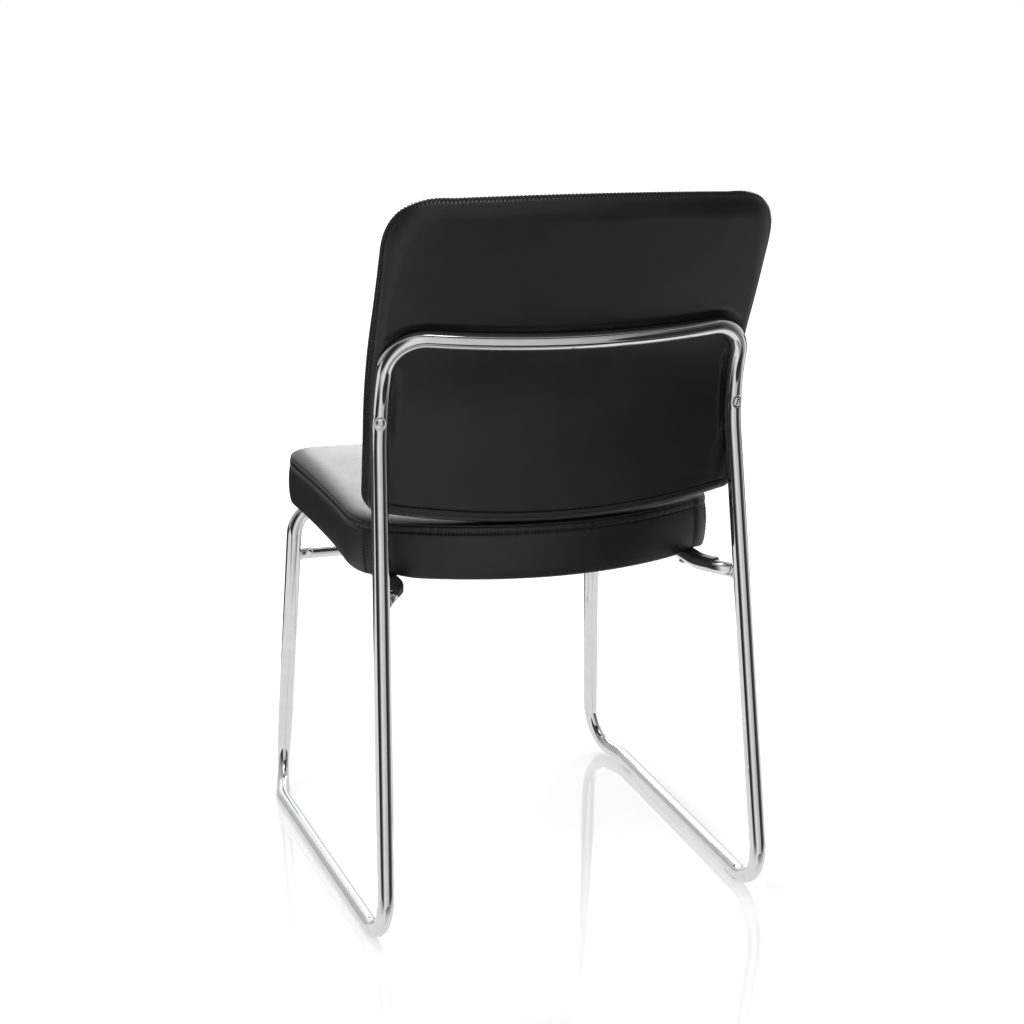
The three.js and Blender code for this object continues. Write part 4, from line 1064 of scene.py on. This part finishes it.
make_chrome_frame()
make_plugs()
make_rails()
make_brace()
make_saddles()
make_screws()
make_seat()
make_back()

for _, word in SIDES:
    for place in ("front", "rear"):
        paint(f"{word}_{place}_glide", NYLON)
        paint(f"{word}_{place}_seat_tee_nut", ZINC)
    paint(f"{word}_back_tee_nut", ZINC)
paint("seat_underside_cloth", DUST)
paint("seat_board", PLYWOOD)
paint("back_board", PLYWOOD)


# Floor, light and camera, in metres

WHITE = (1, 1, 1, 1)
FLOOR_SIZE, FLOOR_COLOUR = 12.0, (0.8, 0.8, 0.8, 1)
FLOOR_GLOSS, FLOOR_ROUGHNESS = 0.22, 0.06
# A faint glow keeps the floor white, less near the chair, where it shows shadow and mirror image
FLOOR_GLOW_NEAR, FLOOR_GLOW_FAR = 0.225, 0.62
FLOOR_GLOW_FROM, FLOOR_GLOW_TO = 0.6, 2.2
SHEET_BRIGHTNESS, FRONT_BRIGHTNESS = 0.80, 0.06
SHEET_START, SHEET_END, SHEET_FADE = -0.72, 0.24, 0.12


def make_floor():
    """A pale floor. Polished metal mirrors it as a white sheet that starts in front of the chair
    and ends behind it, where the studio's own bands follow."""
    size = FLOOR_SIZE
    mesh = bpy.data.meshes.new("floor")
    corners = [(-size, -size, 0), (size, -size, 0), (size, size, 0), (-size, size, 0)]
    mesh.from_pydata(corners, [], [(0, 1, 2, 3)])
    floor = linked("floor", mesh)
    m = Nodes(bpy.data.materials.new("white_floor"), bare=True)
    diffuse = m.add("ShaderNodeBsdfDiffuse", {"Color": FLOOR_COLOUR}).outputs[0]
    polish = {"Color": WHITE, "Roughness": FLOOR_ROUGHNESS}
    shine = m.blend(FLOOR_GLOSS, diffuse, m.add("ShaderNodeBsdfGlossy", polish).outputs[0])
    away = m.vector("LENGTH", m.place(), output="Value")
    level = m.ramp(away, FLOOR_GLOW_NEAR, FLOOR_GLOW_FAR, FLOOR_GLOW_FROM, FLOOR_GLOW_TO)
    glow = m.add("ShaderNodeEmission", {"Strength": level}).outputs[0]
    lit = m.add("ShaderNodeAddShader", {0: shine, 1: glow}).outputs[0]
    path = m.add("ShaderNodeLightPath").outputs
    seen = m.blend(path["Is Camera Ray"], diffuse, lit)
    depth = m.add("ShaderNodeSeparateXYZ", {0: m.place()}).outputs["Y"]
    white = m.ramp(depth, FRONT_BRIGHTNESS, SHEET_BRIGHTNESS, SHEET_START - SHEET_FADE, SHEET_START)
    sheet = m.add("ShaderNodeEmission", {"Strength": white}).outputs[0]
    clear = m.add("ShaderNodeBsdfTransparent").outputs[0]
    past = m.ramp(depth, 0.0, 1.0, SHEET_END, SHEET_END + SHEET_FADE)
    shown = m.blend(path["Is Glossy Ray"], seen, m.blend(past, sheet, clear))
    m.add("ShaderNodeOutputMaterial", {"Surface": shown})
    mesh.materials.append(m.owner)


# The studio as polished metal sees it: brightness by the bearing from the camera, in degrees
# toward the chair's left, with dark flags beside the camera and a bright backdrop opposite it.
CAMERA_BEARING = 19.5
STUDIO_BANDS = [
    (-140, 0.70), (-122, 0.52), (-108, 0.38), (-96, 0.22), (-87, 0.10), (-68, 0.05), (-60, 0.10),
    (-52, 0.27), (-44, 0.45), (-36, 0.54), (-22, 0.62), (-7, 0.74), (7, 0.82), (14, 0.74),
    (20, 0.45), (26, 0.20), (32, 0.06), (40, 0.03), (52, 0.02), (64, 0.04), (74, 0.12), (87, 0.27),
    (108, 0.43), (140, 0.58), (180, 0.80),
]
# Above and below the bands, by the height of the direction
SKY_BRIGHTNESS, SKY_FROM, SKY_TO = 0.40, 0.45, 0.85
GROUND_BRIGHTNESS, GROUND_FROM, GROUND_TO = 0.85, -0.45, -0.8
SOFTBOX_BEARING, SOFTBOX_HEIGHT, SOFTBOX_BRIGHTNESS = 172.0, 22.0, 1.15
SOFTBOX_EDGES = (30.0, 4.0)
HORIZON_BEARING, HORIZON_BRIGHTNESS = 155, 0.36
HORIZON_REACH, HORIZON_EDGES = (0.6, 0.8), (0.055, 0.015)
# Flags as (bearing, height, half length, half height) in degrees, and brightness
FLAGS = [
    (-39, -66, 36, 26, 0.30), (-44, -42, 46, 12, 0.03),
    (-60, -6, 16, 26, 0.03), (-40, 52, 60, 7, 0.03),
]
FLAG_EDGE = 0.75
ROOM_LIGHT = 0.55


def bearing_stops():
    """The bands as places on a ramp that runs once round from the rear, wrapped at its ends."""
    turn = CAMERA_BEARING + 180
    stops = sorted(((bearing + turn) % 360 / 360, value) for bearing, value in STUDIO_BANDS)
    (first, low), (last, high) = stops[0], stops[-1]
    wrap = mix(high, low, (1 - last) / (1 - last + first))
    return [(0.0, wrap)] + stops + [(1.0, wrap)]


def make_world():
    world = bpy.data.worlds.new("studio")
    bpy.context.scene.world = world
    m = Nodes(world, bare=True)

    def light(strength, colour=WHITE):
        return m.add("ShaderNodeBackground", {"Color": colour, "Strength": strength}).outputs[0]

    direction = m.place("Generated")
    split = m.add("ShaderNodeSeparateXYZ", {0: direction}).outputs
    turn = m.calc("ARCTAN2", split["X"], split["Y"])
    ramp = m.add("ShaderNodeValToRGB", {"Fac": m.ramp(turn, 0.0, 1.0, -math.pi, math.pi)})
    elements = ramp.color_ramp.elements
    stops = bearing_stops()
    for element, (position, value) in zip(elements, (stops[0], stops[-1])):
        element.position, element.color = position, (value, value, value, 1)
    for position, value in stops[1:-1]:
        elements.new(position).color = (value, value, value, 1)
    around = light(1.0, ramp.outputs["Color"])
    around = m.blend(m.fade(split["Z"], SKY_FROM, SKY_TO), around, light(SKY_BRIGHTNESS))
    around = m.blend(m.fade(split["Z"], GROUND_FROM, GROUND_TO), around, light(GROUND_BRIGHTNESS))

    bearing, height = math.radians(CAMERA_BEARING + SOFTBOX_BEARING), math.radians(SOFTBOX_HEIGHT)
    level = math.cos(height)
    aim = (math.sin(bearing) * level, math.cos(bearing) * level, math.sin(height))
    near = m.vector("DOT_PRODUCT", direction, aim, output="Value")
    box = m.fade(near, *(math.cos(math.radians(edge)) for edge in SOFTBOX_EDGES))
    around = m.blend(box, around, light(SOFTBOX_BRIGHTNESS))

    rear = math.radians(CAMERA_BEARING + HORIZON_BEARING)
    facing = m.vector("DOT_PRODUCT", direction, (math.sin(rear), math.cos(rear), 0), output="Value")
    narrow = m.fade(m.calc("ABSOLUTE", split["Z"]), *HORIZON_EDGES)
    line = m.calc("MULTIPLY", m.fade(facing, *HORIZON_REACH), narrow)
    around = m.blend(line, around, light(HORIZON_BRIGHTNESS))

    here = m.add("ShaderNodeCombineXYZ", {0: turn, 1: m.calc("ARCSINE", split["Z"])}).outputs[0]
    for flag_bearing, flag_height, length, breadth, brightness in FLAGS:
        place = (math.radians(CAMERA_BEARING + flag_bearing), math.radians(flag_height), 0)
        size = (1 / math.radians(length), 1 / math.radians(breadth), 0)
        off = m.vector("MULTIPLY", m.vector("SUBTRACT", here, place), size)
        inside = m.fade(m.vector("LENGTH", off, output="Value"), 1.0, FLAG_EDGE)
        around = m.blend(inside, around, light(brightness))
    path = m.add("ShaderNodeLightPath").outputs
    lit = m.blend(path["Is Glossy Ray"], light(ROOM_LIGHT), around)
    m.add("ShaderNodeOutputWorld", {"Surface": m.blend(path["Is Camera Ray"], lit, light(1.0))})


def add_light(name, where, size, power, target=(0, 0, 0.45), mirrored=False):
    data = bpy.data.lights.new(name, "AREA")
    data.shape = "RECTANGLE"
    data.size, data.size_y = size
    data.energy = power
    light = linked(name, data)
    light.location = where
    light.rotation_euler = (Vector(target) - Vector(where)).to_track_quat("-Z", "Y").to_euler()
    light.visible_glossy = mirrored
    light.visible_camera = False


CAMERA_LENS, CAMERA_SENSOR, CAMERA_REACH = 69.87, 36.0, 100
CAMERA_TURN = 160.547, 14.629, 0.569
CAMERA_TARGET, CAMERA_DISTANCE = (-1.4, 16.8, 430.4), 2393.0


def make_camera():
    data = bpy.data.cameras.new("camera")
    data.lens, data.sensor_width, data.clip_end = CAMERA_LENS, CAMERA_SENSOR, CAMERA_REACH
    azimuth, elevation, roll = (math.radians(angle) for angle in CAMERA_TURN)
    level = math.cos(elevation)
    back = vec(math.sin(azimuth) * level, -math.cos(azimuth) * level, math.sin(elevation))
    right = unit(np.cross(-back, UP))
    up = np.cross(right, -back)
    rolled = np.array(((math.cos(roll), math.sin(roll)), (-math.sin(roll), math.cos(roll))))
    right, up = rolled @ (right, up)
    place = (vec(*CAMERA_TARGET) + back * CAMERA_DISTANCE + vec(0, SHIFT_Y, 0)) * MM
    camera = linked("camera", data)
    axes = Matrix((right, up, back)).transposed()
    camera.matrix_world = Matrix.Translation(Vector(place)) @ axes.to_4x4()
    bpy.context.scene.camera = camera


make_floor()
make_world()
add_light("key", (2.4, 0.6, 2.0), (1.6, 2.0), 45.0)
add_light("fill", (-2.0, 2.2, 1.6), (1.4, 1.8), 10.0)
add_light("top", (0.3, 0.4, 3.0), (1.8, 1.2), 30.0, mirrored=True)
add_light("sheen", (-0.42, -1.1, 0.72), (0.9, 0.34), 5.6, (0.1, 0.0, 0.46), mirrored=True)
make_camera()

scene = bpy.context.scene
scene.view_settings.view_transform = "Standard"
